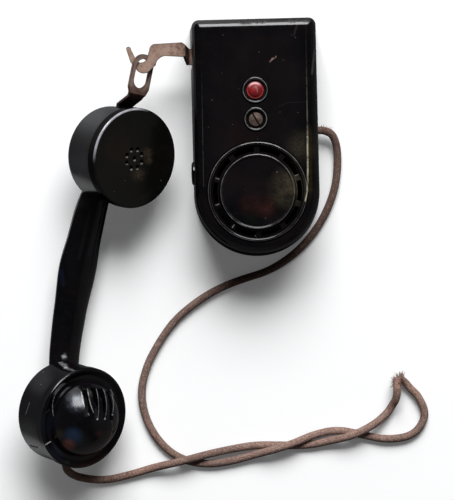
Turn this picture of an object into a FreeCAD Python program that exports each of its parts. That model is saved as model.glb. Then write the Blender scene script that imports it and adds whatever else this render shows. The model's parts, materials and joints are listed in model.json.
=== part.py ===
import FreeCAD, Part
import math
import os
from types import SimpleNamespace

import Sketcher
from FreeCAD import Placement, Rotation, Vector

# A wall intercom telephone, lying on its back: +X to the right, +Y up the wall, +Z out of the wall.
# The origin is the centre of the box's back, on the wall face. Sizes are in millimetres.

SIZES = {
    # Box
    "box_width": 79.0,
    "box_height": 147.0,
    "box_depth": 46.0,
    "cover_wall": 2.6,
    "cover_face": 3.0,
    "cover_draft": 2.0,
    "edge_round": 6.0,
    "corner_round": 4.5,
    "base_thickness": 4.0,
    "seat_gap": 0.3,
    "running_gap": 0.08,
    # Grille
    "grille_radius": 29.6,
    "disc_radius": 22.35,
    "slot_inner": 24.5,
    "slot_outer": 27.3,
    "slot_count": 10.0,
    "rib_width": 3.5,
    "bead_width": 2.0,
    "groove_depth": 1.3,
    # Call button and its contacts
    "button_drop": 45.5,
    "button_radius": 5.2,
    "button_rise": 1.2,
    "button_well": 6.6,
    "leaf_thickness": 0.4,
    "leaf_width": 5.0,
    # Cover screw
    "screw_drop": 63.2,
    "screw_head": 4.2,
    "screw_shank": 1.7,
    "screw_well": 6.0,
    "well_depth": 2.5,
    # Fixing holes in the base
    "fixing_spacing": 124.0,
    "fixing_hole": 2.25,
    "cable_hole": 5.0,
    # Hook
    "hook_drop": 22.5,
    "pivot_inset": 10.0,
    "plate_thickness": 2.0,
    "lever_level": 22.0,
    "hook_level": 35.7,
    "hook_thickness": 1.6,
    "pivot_radius": 2.0,
    "tail_length": 22.0,
    # Handset
    "handset_roll": 39.0,
    "handset_turn": 12.86,
    "handset_pitch": 1.35,
    "handset_x": 34.9,
    "handset_drop": 85.3,
    "handset_height": 43.02,
    "cup_spacing": 162.3,
    "ear_radius": 30.9,
    "ear_depth": 32.6,
    "ear_tilt": -0.6,
    "mouth_radius": 31.4,
    "mouth_depth": 29.5,
    "mouth_raise": 2.2,
    "mouth_tilt": 0.0,
    "cup_wall": 3.0,
    "cap_skirt": 6.2,
    "dome_radius": 24.2,
    "dome_height": 19.8,
    "dome_wall": 2.0,
    "speech_slots": 4.0,
    "speech_slot_width": 3.2,
    "speech_slot_pitch": 5.8,
    "handle_width": 27.0,
    "handle_thickness": 18.5,
    "handle_depth": 35.5,
    # Loop on the handset
    "loop_depth": 11.2,
    "loop_thickness": 1.6,
    "loop_width": 15.5,
    "loop_stroke": 2.7,
    "loop_top": 63.9,
    "loop_hole": 18.1,
    # Cord
    "cord_diameter": 4.8,
    "cord_exit_y": 4.3,
    "cord_exit_z": 8.0,
}

LEVER_SWING = 8.0


class Size:
    """A number worked out from the sheet's cells, together with the expression that gives it."""

    def __init__(self, value, text):
        self.value = float(value)
        self.text = text

    def __add__(self, other):
        return Size(self.value + number(other), f"({self.text} + {expression(other)})")

    def __radd__(self, other):
        return Size(number(other) + self.value, f"({expression(other)} + {self.text})")

    def __sub__(self, other):
        return Size(self.value - number(other), f"({self.text} - {expression(other)})")

    def __rsub__(self, other):
        return Size(number(other) - self.value, f"({expression(other)} - {self.text})")

    def __mul__(self, other):
        return Size(self.value * number(other), f"({self.text} * {expression(other)})")

    __rmul__ = __mul__

    def __truediv__(self, other):
        return Size(self.value / number(other), f"({self.text} / {expression(other)})")

    def __neg__(self):
        return Size(-self.value, f"(0 - {self.text})")


def number(value):
    return value.value if isinstance(value, Size) else float(value)


def expression(value):
    return value.text if isinstance(value, Size) else repr(float(value))


doc = FreeCAD.newDocument("intercom_telephone")
sheet = doc.addObject("Spreadsheet::Sheet", "Sizes")
for row, (alias, value) in enumerate(SIZES.items(), start=1):
    sheet.set(f"A{row}", alias)
    sheet.set(f"B{row}", str(value))
    sheet.setAlias(f"B{row}", alias)
doc.recompute()
d = SimpleNamespace(**{alias: Size(value, f"Sizes.{alias}") for alias, value in SIZES.items()})

PIECES = []


def piece(thing, label):
    """Marks a finished piece: its label names its file."""
    thing.Label = label
    PIECES.append(thing)
    return thing


# Building blocks: every size that is a cell, or worked out from cells, is bound by its expression

def bind(thing, prop, value):
    if isinstance(value, Size):
        thing.setExpression(prop, value.text)


def place(thing, at=(0, 0, 0), axis=(0, 0, 1), angle=0):
    turn = Rotation(Vector(*axis), number(angle))
    thing.Placement = Placement(Vector(*[number(v) for v in at]), turn)
    for letter, value in zip("xyz", at):
        bind(thing, f"Placement.Base.{letter}", value)
    return thing


def primitive(kind, name, at, axis, angle, **sizes):
    thing = doc.addObject(kind, name)
    for prop, value in sizes.items():
        setattr(thing, prop, number(value))
        bind(thing, prop, value)
    return place(thing, at, axis, angle)


def box(name, at, length, width, height):
    """A block centred on at in X and Y, standing on its Z."""
    corner = (at[0] - length / 2, at[1] - width / 2, at[2])
    return primitive("Part::Box", name, corner, (0, 0, 1), 0, Length=length, Width=width, Height=height)


UP = ((0, 0, 1), 0)
RIGHT = ((0, 1, 0), 90)
LEFT = ((0, 1, 0), -90)
BACK_DOWN = ((1, 0, 0), 90)


def rod(name, at, radius, height, way=UP):
    return primitive("Part::Cylinder", name, at, way[0], way[1], Radius=radius, Height=height)


def cone(name, at, low, high, height, way=UP):
    return primitive("Part::Cone", name, at, way[0], way[1], Radius1=low, Radius2=high, Height=height)


def fuse(name, *parts):
    thing = doc.addObject("Part::MultiFuse", name)
    thing.Shapes = list(parts)
    return thing


def group(name, *parts):
    """Several separate solids kept as one piece, such as like screws."""
    thing = doc.addObject("Part::Compound", name)
    thing.Links = list(parts)
    return thing


def cut(name, base, *tools):
    """Takes the tools away one after another."""
    thing = base
    for index, tool in enumerate(tools, start=1):
        last = index == len(tools)
        step = doc.addObject("Part::Cut", name if last else f"{name}_less_{index}")
        step.Base = thing
        step.Tool = tool
        thing = step
    return thing


def common(name, first, second):
    thing = doc.addObject("Part::MultiCommon", name)
    thing.Shapes = [first, second]
    return thing


# Sketches and the features made from them

def pin(sketch, geometry, point, x=None, y=None):
    for kind, value in (("DistanceX", x), ("DistanceY", y)):
        if value is None:
            continue
        index = sketch.addConstraint(Sketcher.Constraint(kind, -1, 1, geometry, point, number(value)))
        bind(sketch, f"Constraints[{index}]", value)


def draw(sketch, points):
    """Closed outline: a point (x, y, cx, cy, turn) ends an arc about cx, cy; turn is 1 anticlockwise."""
    ends = []
    for index, start in enumerate(points):
        end = points[(index + 1) % len(points)]
        here = Vector(number(start[0]), number(start[1]), 0)
        there = Vector(number(end[0]), number(end[1]), 0)
        if len(end) == 2:
            sketch.addGeometry(Part.LineSegment(here, there))
            ends.append((1, 2))
            continue
        centre = Vector(number(end[2]), number(end[3]), 0)
        first, last = (here, there) if end[4] > 0 else (there, here)
        circle = Part.Circle(centre, Vector(0, 0, 1), (here - centre).Length)
        low = math.atan2(first.y - centre.y, first.x - centre.x)
        high = math.atan2(last.y - centre.y, last.x - centre.x)
        sketch.addGeometry(Part.ArcOfCircle(circle, low, high if high > low else high + 2 * math.pi))
        ends.append((1, 2) if end[4] > 0 else (2, 1))
    for index in range(len(points)):
        after = (index + 1) % len(points)
        sketch.addConstraint(Sketcher.Constraint("Coincident", index, ends[index][1], after, ends[after][0]))
    for index, point in enumerate(points):
        if len(point) == 2:
            pin(sketch, index, ends[index][0], point[0], point[1])
            continue
        before = index - 1 if index else len(points) - 1
        pin(sketch, before, 3, point[2], point[3])
        across = abs(number(point[0]) - number(point[2]))
        along = abs(number(point[1]) - number(point[3]))
        if across < along:
            pin(sketch, index, ends[index][0], x=point[0])
        else:
            pin(sketch, index, ends[index][0], y=point[1])


def circle(sketch, radius, x=0, y=0):
    at = Vector(number(x), number(y), 0)
    geometry = sketch.addGeometry(Part.Circle(at, Vector(0, 0, 1), number(radius)))
    pin(sketch, geometry, 3, x, y)
    index = sketch.addConstraint(Sketcher.Constraint("Radius", geometry, number(radius)))
    bind(sketch, f"Constraints[{index}]", radius)


def new_body(name):
    return doc.addObject("PartDesign::Body", name)


def sketch_in(body, name, role="XY_Plane", at=(0, 0, 0)):
    """A sketch on one of the body's own planes, with its origin moved by at along that plane's own axes."""
    sketch = body.newObject("Sketcher::SketchObject", name)
    plane = [f for f in body.Origin.OriginFeatures if f.Role == role][0]
    sketch.AttachmentSupport = [(plane, "")]
    sketch.MapMode = "FlatFace"
    sketch.AttachmentOffset = Placement(Vector(*[number(v) for v in at]), Rotation())
    for letter, value in zip("xyz", at):
        bind(sketch, f"AttachmentOffset.Base.{letter}", value)
    return sketch


def feature(body, kind, name, sketch):
    thing = body.newObject(f"PartDesign::{kind}", name)
    thing.Profile = sketch
    sketch.Visibility = False
    return thing


def pad(body, name, sketch, length, back=False, draft=0):
    thing = feature(body, "Pad", name, sketch)
    thing.Length = number(length)
    bind(thing, "Length", length)
    thing.Reversed = back
    thing.TaperAngle = number(draft)
    bind(thing, "TaperAngle", draft)
    return thing


def pocket(body, name, sketch, depth, back=False, draft=0):
    thing = feature(body, "Pocket", name, sketch)
    thing.Length = number(depth)
    bind(thing, "Length", depth)
    thing.Reversed = back
    thing.TaperAngle = number(draft)
    bind(thing, "TaperAngle", draft)
    return thing


def spin(body, kind, name, sketch):
    """Revolution or Groove about the sketch's upright axis."""
    thing = feature(body, kind, name, sketch)
    thing.ReferenceAxis = (sketch, ["V_Axis"])
    thing.Angle = 360
    return thing


def round_edges(body, name, radius, wanted):
    doc.recompute()
    base = body.Tip
    edges = [f"Edge{i}" for i, edge in enumerate(base.Shape.Edges, start=1) if wanted(edge)]
    thing = body.newObject("PartDesign::Fillet", name)
    thing.Base = (base, edges)
    thing.Radius = number(radius)
    bind(thing, "Radius", radius)
    return thing


def turned(name, points, role="XZ_Plane"):
    """A body turned about its own Z from a closed outline of radius and height."""
    body = new_body(name)
    outline = sketch_in(body, f"{name}_outline", role)
    draw(outline, points)
    spin(body, "Revolution", f"{name}_turned", outline)
    return body


def plate(name, points, at=(0, 0, 0), thickness=1.0):
    """A flat plate cut to a closed outline in X and Y, its lower face at the height of at."""
    body = new_body(name)
    outline = sketch_in(body, f"{name}_outline", "XY_Plane", at)
    draw(outline, points)
    pad(body, f"{name}_plate", outline, thickness)
    return body


# Places that several pieces share

LEFT_SIDE = -d.box_width / 2
RIGHT_SIDE = d.box_width / 2
TOP = d.box_height / 2
BOTTOM = -d.box_height / 2
ROUND_Y = BOTTOM + d.box_width / 2
BUTTON_Y = TOP - d.button_drop
SCREW_Y = TOP - d.screw_drop
HOOK_Y = TOP - d.hook_drop
PIVOT_X = LEFT_SIDE + d.pivot_inset
FACE_INSIDE = d.box_depth - d.cover_face
PLUG_Y = ROUND_Y + 12.6
PLUG_Z = 23.0
PLUG_RADIUS = 5.4
BASE_TOP = d.base_thickness
INSIDE = FACE_INSIDE + 0.5
SLEEVE_LENGTH = 5.5
SCREW_BOSS_LENGTH = 6.5
SCREW_LENGTH = 17.0
SCREW_SLOT_TURN = 29.0


def box_outline(inset):
    """The box seen from the front: square shoulders and a half round lower end."""
    side = d.box_width / 2 - inset
    top = d.box_height / 2 - inset
    return [(side, top), (-side, top), (-side, ROUND_Y), (side, ROUND_Y, 0, ROUND_Y, 1)]


def upright(edge):
    return len(edge.Vertexes) == 2 and abs(edge.tangentAt(edge.FirstParameter).z) > 0.9


def at_height(height):
    def wanted(edge):
        return all(abs(v.Point.z - number(height)) < 0.01 for v in edge.Vertexes)
    return wanted


# The box: base plate, cover and what is fixed to them

def base_plate():
    """The moulded plate against the wall, with a tongue that fills the lower part of the hook's slot."""
    body = new_body("base_plate")
    outline = sketch_in(body, "base_outline")
    draw(outline, box_outline(d.cover_wall + d.seat_gap + 0.1))
    pad(body, "base_pad", outline, d.base_thickness)
    round_edges(body, "base_corners", d.corner_round - d.cover_wall, upright)
    holes = sketch_in(body, "fixing_holes", at=(0, 0, d.base_thickness))
    for side in (1, -1):
        circle(holes, d.fixing_hole, 0, side * d.fixing_spacing / 2)
    pocket(body, "fixing_cut", holes, d.base_thickness)
    seats = sketch_in(body, "fixing_seats", at=(0, 0, d.base_thickness))
    for side in (1, -1):
        circle(seats, d.fixing_hole * 2, 0, side * d.fixing_spacing / 2)
    pocket(body, "seat_cut", seats, d.base_thickness / 2)
    entry = sketch_in(body, "cable_entry", at=(0, 0, d.base_thickness))
    circle(entry, d.cable_hole, RIGHT_SIDE - 22, TOP - 30)
    pocket(body, "cable_cut", entry, d.base_thickness)
    tongue = sketch_in(body, "tongue_outline")
    inner = LEFT_SIDE + d.cover_wall + d.seat_gap
    low, high = HOOK_Y - 6.4, HOOK_Y + 5.0
    draw(tongue, [(inner + 1.2, low), (inner + 1.2, high), (LEFT_SIDE + 1.0, high), (LEFT_SIDE + 1.0, low)])
    pad(body, "tongue_pad", tongue, d.lever_level - 0.6)
    return piece(body, "base_plate")


def bead(body, name, radius, centre_y):
    """A raised half round ring on the cover's face."""
    half = d.bead_width / 2
    profile = sketch_in(body, f"{name}_profile", "YZ_Plane", (centre_y, d.box_depth, 0))
    inner, outer, low = radius - half, radius + half, -0.4
    draw(profile, [(inner, low), (outer, low), (outer, 0), (inner, 0, radius, 0, 1)])
    spin(body, "Revolution", name, profile)


def round_pocket(body, name, radius, centre_y, top, depth, x=0):
    hole = sketch_in(body, f"{name}_outline", at=(x, centre_y, top))
    circle(hole, radius)
    pocket(body, name, hole, depth)


def front_cover():
    """The moulded cover: a thin shell with draft, beads, a slotted grille ring and two wells."""
    body = new_body("front_cover")
    outline = sketch_in(body, "cover_outline")
    draw(outline, box_outline(0))
    pad(body, "cover_block", outline, d.box_depth, draft=-d.cover_draft)
    round_edges(body, "cover_corners", d.corner_round, upright)
    round_edges(body, "cover_edge", d.edge_round, at_height(d.box_depth))
    hollow = sketch_in(body, "cover_hollow_outline")
    draw(hollow, box_outline(d.cover_wall))
    pocket(body, "cover_hollow", hollow, FACE_INSIDE, back=True, draft=-d.cover_draft)
    round_edges(body, "cover_hollow_edge", d.edge_round - d.cover_face, at_height(FACE_INSIDE))
    for name, radius, y, length in (
        ("button_sleeve", d.button_well + 1.1, BUTTON_Y, SLEEVE_LENGTH),
        ("screw_boss", d.screw_well + 2.2, SCREW_Y, SCREW_BOSS_LENGTH),
    ):
        ring = sketch_in(body, f"{name}_outline", at=(0, y, INSIDE))
        circle(ring, radius)
        pad(body, name, ring, length, back=True)
    groove = sketch_in(body, "grille_groove_outline", at=(0, ROUND_Y, d.box_depth))
    circle(groove, d.slot_outer + 1.3)
    circle(groove, d.slot_inner - 0.9)
    pocket(body, "grille_groove", groove, d.groove_depth)
    slot = sketch_in(body, "grille_slot_outline", at=(0, ROUND_Y, d.box_depth))
    middle = (SIZES["slot_inner"] + SIZES["slot_outer"]) / 2
    half = math.pi / SIZES["slot_count"] - SIZES["rib_width"] / 2 / middle
    centre = math.pi / 2 + math.pi / SIZES["slot_count"]
    left, right = centre + half, centre - half
    near, far = SIZES["slot_inner"], SIZES["slot_outer"]
    draw(slot, ring_sector(near, far, right, left))
    one = pocket(body, "grille_slot", slot, d.cover_face + 1)
    ring = body.newObject("PartDesign::PolarPattern", "grille_slots")
    ring.Originals = [one]
    ring.Axis = (slot, ["N_Axis"])
    ring.Angle = 360
    ring.Occurrences = int(SIZES["slot_count"])
    body.Tip = ring
    round_pocket(body, "button_hole", d.button_radius + 0.25, BUTTON_Y, d.box_depth, 12)
    round_pocket(body, "button_well", d.button_well, BUTTON_Y, d.box_depth, 1.2)
    round_pocket(body, "screw_hole", d.screw_shank + 0.4, SCREW_Y, d.box_depth, 12)
    round_pocket(body, "screw_well", d.screw_well, SCREW_Y, d.box_depth, d.well_depth)
    bead(body, "grille_bead", d.grille_radius, ROUND_Y)
    bead(body, "disc_bead", d.disc_radius, ROUND_Y)
    bead(body, "button_bead", d.button_well + 0.75, BUTTON_Y)
    bead(body, "screw_bead", d.screw_well + 0.6, SCREW_Y)
    slot_top = d.lever_level + d.plate_thickness + 0.6
    notch = sketch_in(body, "hook_slot_outline", "YZ_Plane", (HOOK_Y, 0, LEFT_SIDE - 1))
    draw(notch, [(-6.8, -1), (5.4, -1), (5.4, slot_top), (-6.8, slot_top)])
    pocket(body, "hook_slot", notch, 8, back=True)
    exit_radius = d.cord_diameter / 2 + 0.3
    notch = sketch_in(body, "cord_slot_outline", "YZ_Plane", (d.cord_exit_y, 0, RIGHT_SIDE + 1))
    draw(notch, [(-exit_radius, -1), (exit_radius, -1), (exit_radius, d.cord_exit_z),
                 (-exit_radius, d.cord_exit_z, 0, d.cord_exit_z, 1)])
    pocket(body, "cord_slot", notch, 8)
    hole = sketch_in(body, "plug_hole_outline", "YZ_Plane", (PLUG_Y, PLUG_Z, LEFT_SIDE - 1))
    circle(hole, PLUG_RADIUS + 0.2)
    pocket(body, "plug_hole", hole, 8, back=True)
    return piece(body, "front_cover")


def ring_sector(near, far, right, left):
    """A ring sector between two radii and two angles."""
    return [
        (near * math.cos(right), near * math.sin(right), 0, 0, -1),
        (far * math.cos(right), far * math.sin(right)),
        (far * math.cos(left), far * math.sin(left), 0, 0, 1),
        (near * math.cos(left), near * math.sin(left)),
    ]


def cover_screw():
    """Slotted screw with a domed head, in the well of the cover."""
    seat = d.box_depth - d.well_depth
    shank, head = d.screw_shank, d.screw_head
    blank = turned("cover_screw_blank", [
        (0, -SCREW_LENGTH), (shank, -SCREW_LENGTH), (shank, 0.02), (head, 0.02), (head, 1.3), (0, 2.1),
    ])
    place(blank, (0, SCREW_Y, seat))
    width, length = 1.0, 12.0
    slot = box("cover_screw_slot", (0, 0, 0), width, length, 2.0)
    at = Vector(0, number(SCREW_Y), number(seat + 1.0))
    turn = Placement(at, Rotation(Vector(0, 0, 1), SCREW_SLOT_TURN))
    slot.Placement = turn * Placement(Vector(-width / 2, -length / 2, 0), Rotation())
    return piece(cut("cover_screw", blank, slot), "cover_screw")


def screw_post():
    """Turned pillar on the base that takes the cover screw."""
    height = INSIDE - SCREW_BOSS_LENGTH - 0.2 - BASE_TOP
    bore = d.screw_shank + d.running_gap
    post = turned("screw_post", [
        (0, 0), (7.0, 0), (7.0, 2.0), (4.5, 3.5), (4.5, height), (bore, height), (bore, 18.0), (0, 18.0),
    ])
    place(post, (0, SCREW_Y, BASE_TOP))
    return piece(post, "screw_post")


def blanking_plug():
    """Domed button that closes the spare cable hole in the left side."""
    rim = PLUG_RADIUS + 1.8
    plug = turned("blanking_plug", [
        (0, -4.5), (PLUG_RADIUS, -4.5), (PLUG_RADIUS, 0), (rim, 0), (rim, 0.7), (rim - 1.0, 1.5), (0, 1.8),
    ])
    lean = number(d.cover_draft)
    wall = number(LEFT_SIDE) + PLUG_Z * math.tan(math.radians(lean))
    at = Vector(wall - 0.03, number(PLUG_Y), PLUG_Z)
    plug.Placement = Placement(at, Rotation(Vector(0, 1, 0), -90 + lean))
    return piece(plug, "blanking_plug")


# The hook switch

TAIL_HALF = 2.5
STUD_RISE = 1.8
STUD_RADIUS = 1.7
STOP_DISTANCE = 13.0
STOP_RADIUS = 1.5


def hook_outline():
    """The flat J that the handset hangs on, cut from plate: arm, bend, mouth and prong."""
    x, y = LEFT_SIDE, HOOK_Y
    return [
        (x - 4.4, y - 0.9), (x - 2.7, y + 1.8), (x - 2.7, y + 6.5), (x - 4.7, y + 8.0),
        (x - 21.3, y + 7.4), (x - 24.8, y + 3.9, x - 21.3, y + 3.9, 1),
        (x - 26.0, y + 0.2), (x - 34.0, y + 0.2, x - 30.0, y + 0.2, -1),
        (x - 36.1, y + 4.4), (x - 39.1, y + 4.8, x - 37.6, y + 4.6, 1),
        (x - 36.6, y - 3.4), (x - 33.6, y - 7.2), (x - 24.3, y - 8.4, x - 28.6, y - 5.0, 1),
        (x - 21.06, y - 5.6), (x - 14.3, y - 0.1, x - 14.9, y - 6.3, -1),
    ]


def hook_lever():
    """Lever from the switch inside the box, cranked forward outside it, ending in the open hook."""
    pivot = (PIVOT_X, HOOK_Y)
    low = d.lever_level
    hub = rod("lever_hub", (*pivot, low), 5.2, d.plate_thickness)
    root_left, tail = LEFT_SIDE - 2.0, PIVOT_X + d.tail_length
    wide, narrow = 5.0, TAIL_HALF
    root = plate("lever_root", [
        (tail, HOOK_Y + narrow), (PIVOT_X + 4, HOOK_Y + narrow), (PIVOT_X, HOOK_Y + wide),
        (root_left, HOOK_Y + wide), (root_left, HOOK_Y - wide), (PIVOT_X, HOOK_Y - wide),
        (PIVOT_X + 4, HOOK_Y - narrow), (tail, HOOK_Y - narrow),
    ], (0, 0, low), d.plate_thickness)
    hook = plate("lever_hook", hook_outline(), (0, 0, d.hook_level), d.hook_thickness)
    crank = doc.addObject("Part::Feature", "lever_crank")
    head_z = d.hook_level + d.hook_thickness
    crank.Shape = Part.makeLoft([
        crank_end(LEFT_SIDE - 2.4, d.plate_thickness, HOOK_Y - wide, HOOK_Y + wide, low),
        crank_end(LEFT_SIDE - 4.3, d.hook_thickness, HOOK_Y - 0.6, HOOK_Y + 6.5, head_z),
    ], True, True)
    stud_at = (tail - 2.2, HOOK_Y + STUD_RISE, low - 1.0)
    stud = rod("lever_stud", stud_at, STUD_RADIUS, d.plate_thickness + 2.0)
    bore = rod("lever_bore", (*pivot, low - 1), d.pivot_radius + d.running_gap, d.plate_thickness + 2)
    blank = fuse("lever_blank", hub, root, hook, crank, stud)
    return piece(cut("hook_lever", blank, bore), "hook_lever")


def crank_end(left, thickness, low_y, high_y, z):
    """Level outline of the strip at the foot or the head of its steep stretch."""
    left, right, low_y, high_y, z = [number(v) for v in (left, left + thickness, low_y, high_y, z)]
    corners = [Vector(x, y, z) for x, y in ((left, low_y), (right, low_y), (right, high_y), (left, high_y))]
    return Part.makePolygon(corners + corners[:1])


def hook_post():
    """Shouldered post that the lever turns on, riveted to the base."""
    shoulder = d.lever_level - BASE_TOP - 0.1
    top = shoulder + d.plate_thickness + 3.0
    post = turned("hook_post", [
        (0, 0), (5.6, 0), (5.6, 1.5), (4.0, 3.0), (4.0, shoulder), (d.pivot_radius, shoulder),
        (d.pivot_radius, top), (0, top),
    ])
    place(post, (PIVOT_X, HOOK_Y, BASE_TOP))
    return piece(post, "hook_post")


def hook_clip():
    """Ring that keeps the lever on its post."""
    at = (PIVOT_X, HOOK_Y, d.lever_level + d.plate_thickness + 0.15)
    disc = rod("clip_disc", at, 4.2, 0.9)
    bore = rod("clip_bore", at, d.pivot_radius + 0.03, 0.9)
    return piece(cut("hook_clip", disc, bore), "hook_clip")


def hook_stops():
    """Two pins that limit the lever's swing, under and over its tail."""
    x = PIVOT_X + STOP_DISTANCE
    swing = STOP_DISTANCE * math.sin(math.radians(LEVER_SWING))
    away = TAIL_HALF + STOP_RADIUS
    height = d.lever_level + d.plate_thickness
    low = rod("stop_low", (x, HOOK_Y - away - 0.15, BASE_TOP), STOP_RADIUS, height)
    high = rod("stop_high", (x, HOOK_Y + away + 0.35 + swing, BASE_TOP), STOP_RADIUS, height)
    return piece(group("hook_stops", low, high), "hook_stops")


def contact_block(name, at, length, width, height, across):
    """Pile of insulating blocks that clamps the contact leaves, with holes for its two screws."""
    block = box(f"{name}_stack", at, length, width, height)
    holes = []
    for side in (1, -1):
        spot = (at[0] + side * across[0], at[1] + side * across[1], at[2] - 1)
        holes.append(rod(f"{name}_hole_{'a' if side > 0 else 'b'}", spot, 1.3, height + 2))
    return block, holes


def stack_screws(name, at, height, across):
    screws = []
    for side in (1, -1):
        spot = (at[0] + side * across[0], at[1] + side * across[1])
        letter = "a" if side > 0 else "b"
        shank = rod(f"{name}_shank_{letter}", (*spot, BASE_TOP), 1.25, height)
        head = rod(f"{name}_head_{letter}", (*spot, BASE_TOP + height), 2.3, 1.6)
        screws.append(fuse(f"{name}_{letter}", shank, head))
    return piece(group(name, *screws), name)


def hook_contacts():
    """Contact pile beside the lever's tail: a moving leaf that the tail lifts, and a fixed one above it."""
    tail = PIVOT_X + d.tail_length
    at = (tail + 24.5, HOOK_Y + 6.8, BASE_TOP)
    height = 25.0
    across = (2.6, 3.4)
    block, holes = contact_block("hook_block", at, 10.0, 13.0, height, across)
    fixed_y = HOOK_Y + 9.0
    level = d.lever_level - 1.5
    slot = box("hook_block_slot", (tail + 21.5, fixed_y, level - 0.1), 6.0, d.leaf_thickness + 0.1,
               d.leaf_width + 0.2)
    piece(cut("hook_contact_block", block, slot, *holes), "hook_contact_block")
    stack_screws("hook_contact_screws", at, height, across)
    root = box("hook_fixed_strip", (tail + 11.1, fixed_y, level), 26.4, d.leaf_thickness, d.leaf_width)
    tip = rod("hook_fixed_tip", (tail, fixed_y - d.leaf_thickness / 2, level + d.leaf_width / 2), 1.2, 0.6,
              BACK_DOWN)
    piece(fuse("hook_fixed_leaf", root, tip), "hook_fixed_leaf")
    leaf_y = HOOK_Y + STUD_RISE + STUD_RADIUS + 0.3 + d.leaf_thickness / 2
    strip = box("hook_moving_strip", (tail + 8.35, leaf_y, level), 21.7, d.leaf_thickness, d.leaf_width)
    return piece(strip, "hook_moving_leaf")


# The call button and its contacts

BUTTON_CROWN = 3.0
BUTTON_COLLAR = 7.6
BUTTON_STEM_END = 27.0


def call_button():
    """Domed button with a collar under the cover's sleeve and a stem down to its contact leaf."""
    radius, crown = d.button_radius, BUTTON_CROWN
    top = d.box_depth + d.button_rise - 1.1
    sleeve_end = INSIDE - SLEEVE_LENGTH
    stem, stem_end = 1.9, BUTTON_STEM_END
    blank = turned("button_blank", [
        (0, stem_end), (stem, stem_end + stem, 0, stem_end + stem, 1), (stem, sleeve_end - 1.6),
        (BUTTON_COLLAR, sleeve_end - 1.6), (BUTTON_COLLAR, sleeve_end - 0.1), (radius, sleeve_end - 0.1),
        (radius, top), (0, top),
    ])
    place(blank, (0, BUTTON_Y, 0))
    sphere_radius = (SIZES["button_radius"] ** 2 + crown ** 2) / (2 * crown)
    ball_at = (0, BUTTON_Y, top + crown - 1.0 - sphere_radius)
    ball = primitive("Part::Sphere", "button_dome_ball", ball_at, (0, 0, 1), 0, Radius=sphere_radius)
    keep = rod("button_dome_keep", (0, BUTTON_Y, top - 0.01), radius, crown)
    return piece(fuse("call_button", blank, common("button_dome", ball, keep)), "call_button")


def button_contacts():
    """Contact pile under the button: the stem presses a moving leaf down to a fixed one."""
    at = (22.0, BUTTON_Y, BASE_TOP)
    height = 25.0
    across = (0, 3.4)
    block, holes = contact_block("button_block", at, 10.0, 12.0, height, across)
    level = 22.4
    slot = box("button_block_slot", (19.5, BUTTON_Y, level - 0.05), 5.2, 4.4, d.leaf_thickness + 0.1)
    piece(cut("button_contact_block", block, slot, *holes), "button_contact_block")
    stack_screws("button_contact_screws", at, height, across)
    strip = box("button_fixed_strip", (9.4, BUTTON_Y, level), 24.6, 4.2, d.leaf_thickness)
    tip = rod("button_fixed_tip", (-1.0, BUTTON_Y, level + d.leaf_thickness), 1.2, 0.5)
    piece(fuse("button_fixed_leaf", strip, tip), "button_fixed_leaf")
    under_stem = BUTTON_STEM_END - 0.3 - d.leaf_thickness
    moving = box("button_moving_leaf", (7.1, BUTTON_Y, under_stem), 19.2, 4.2, d.leaf_thickness)
    return piece(moving, "button_moving_leaf")


# The buzzer behind the grille

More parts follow.
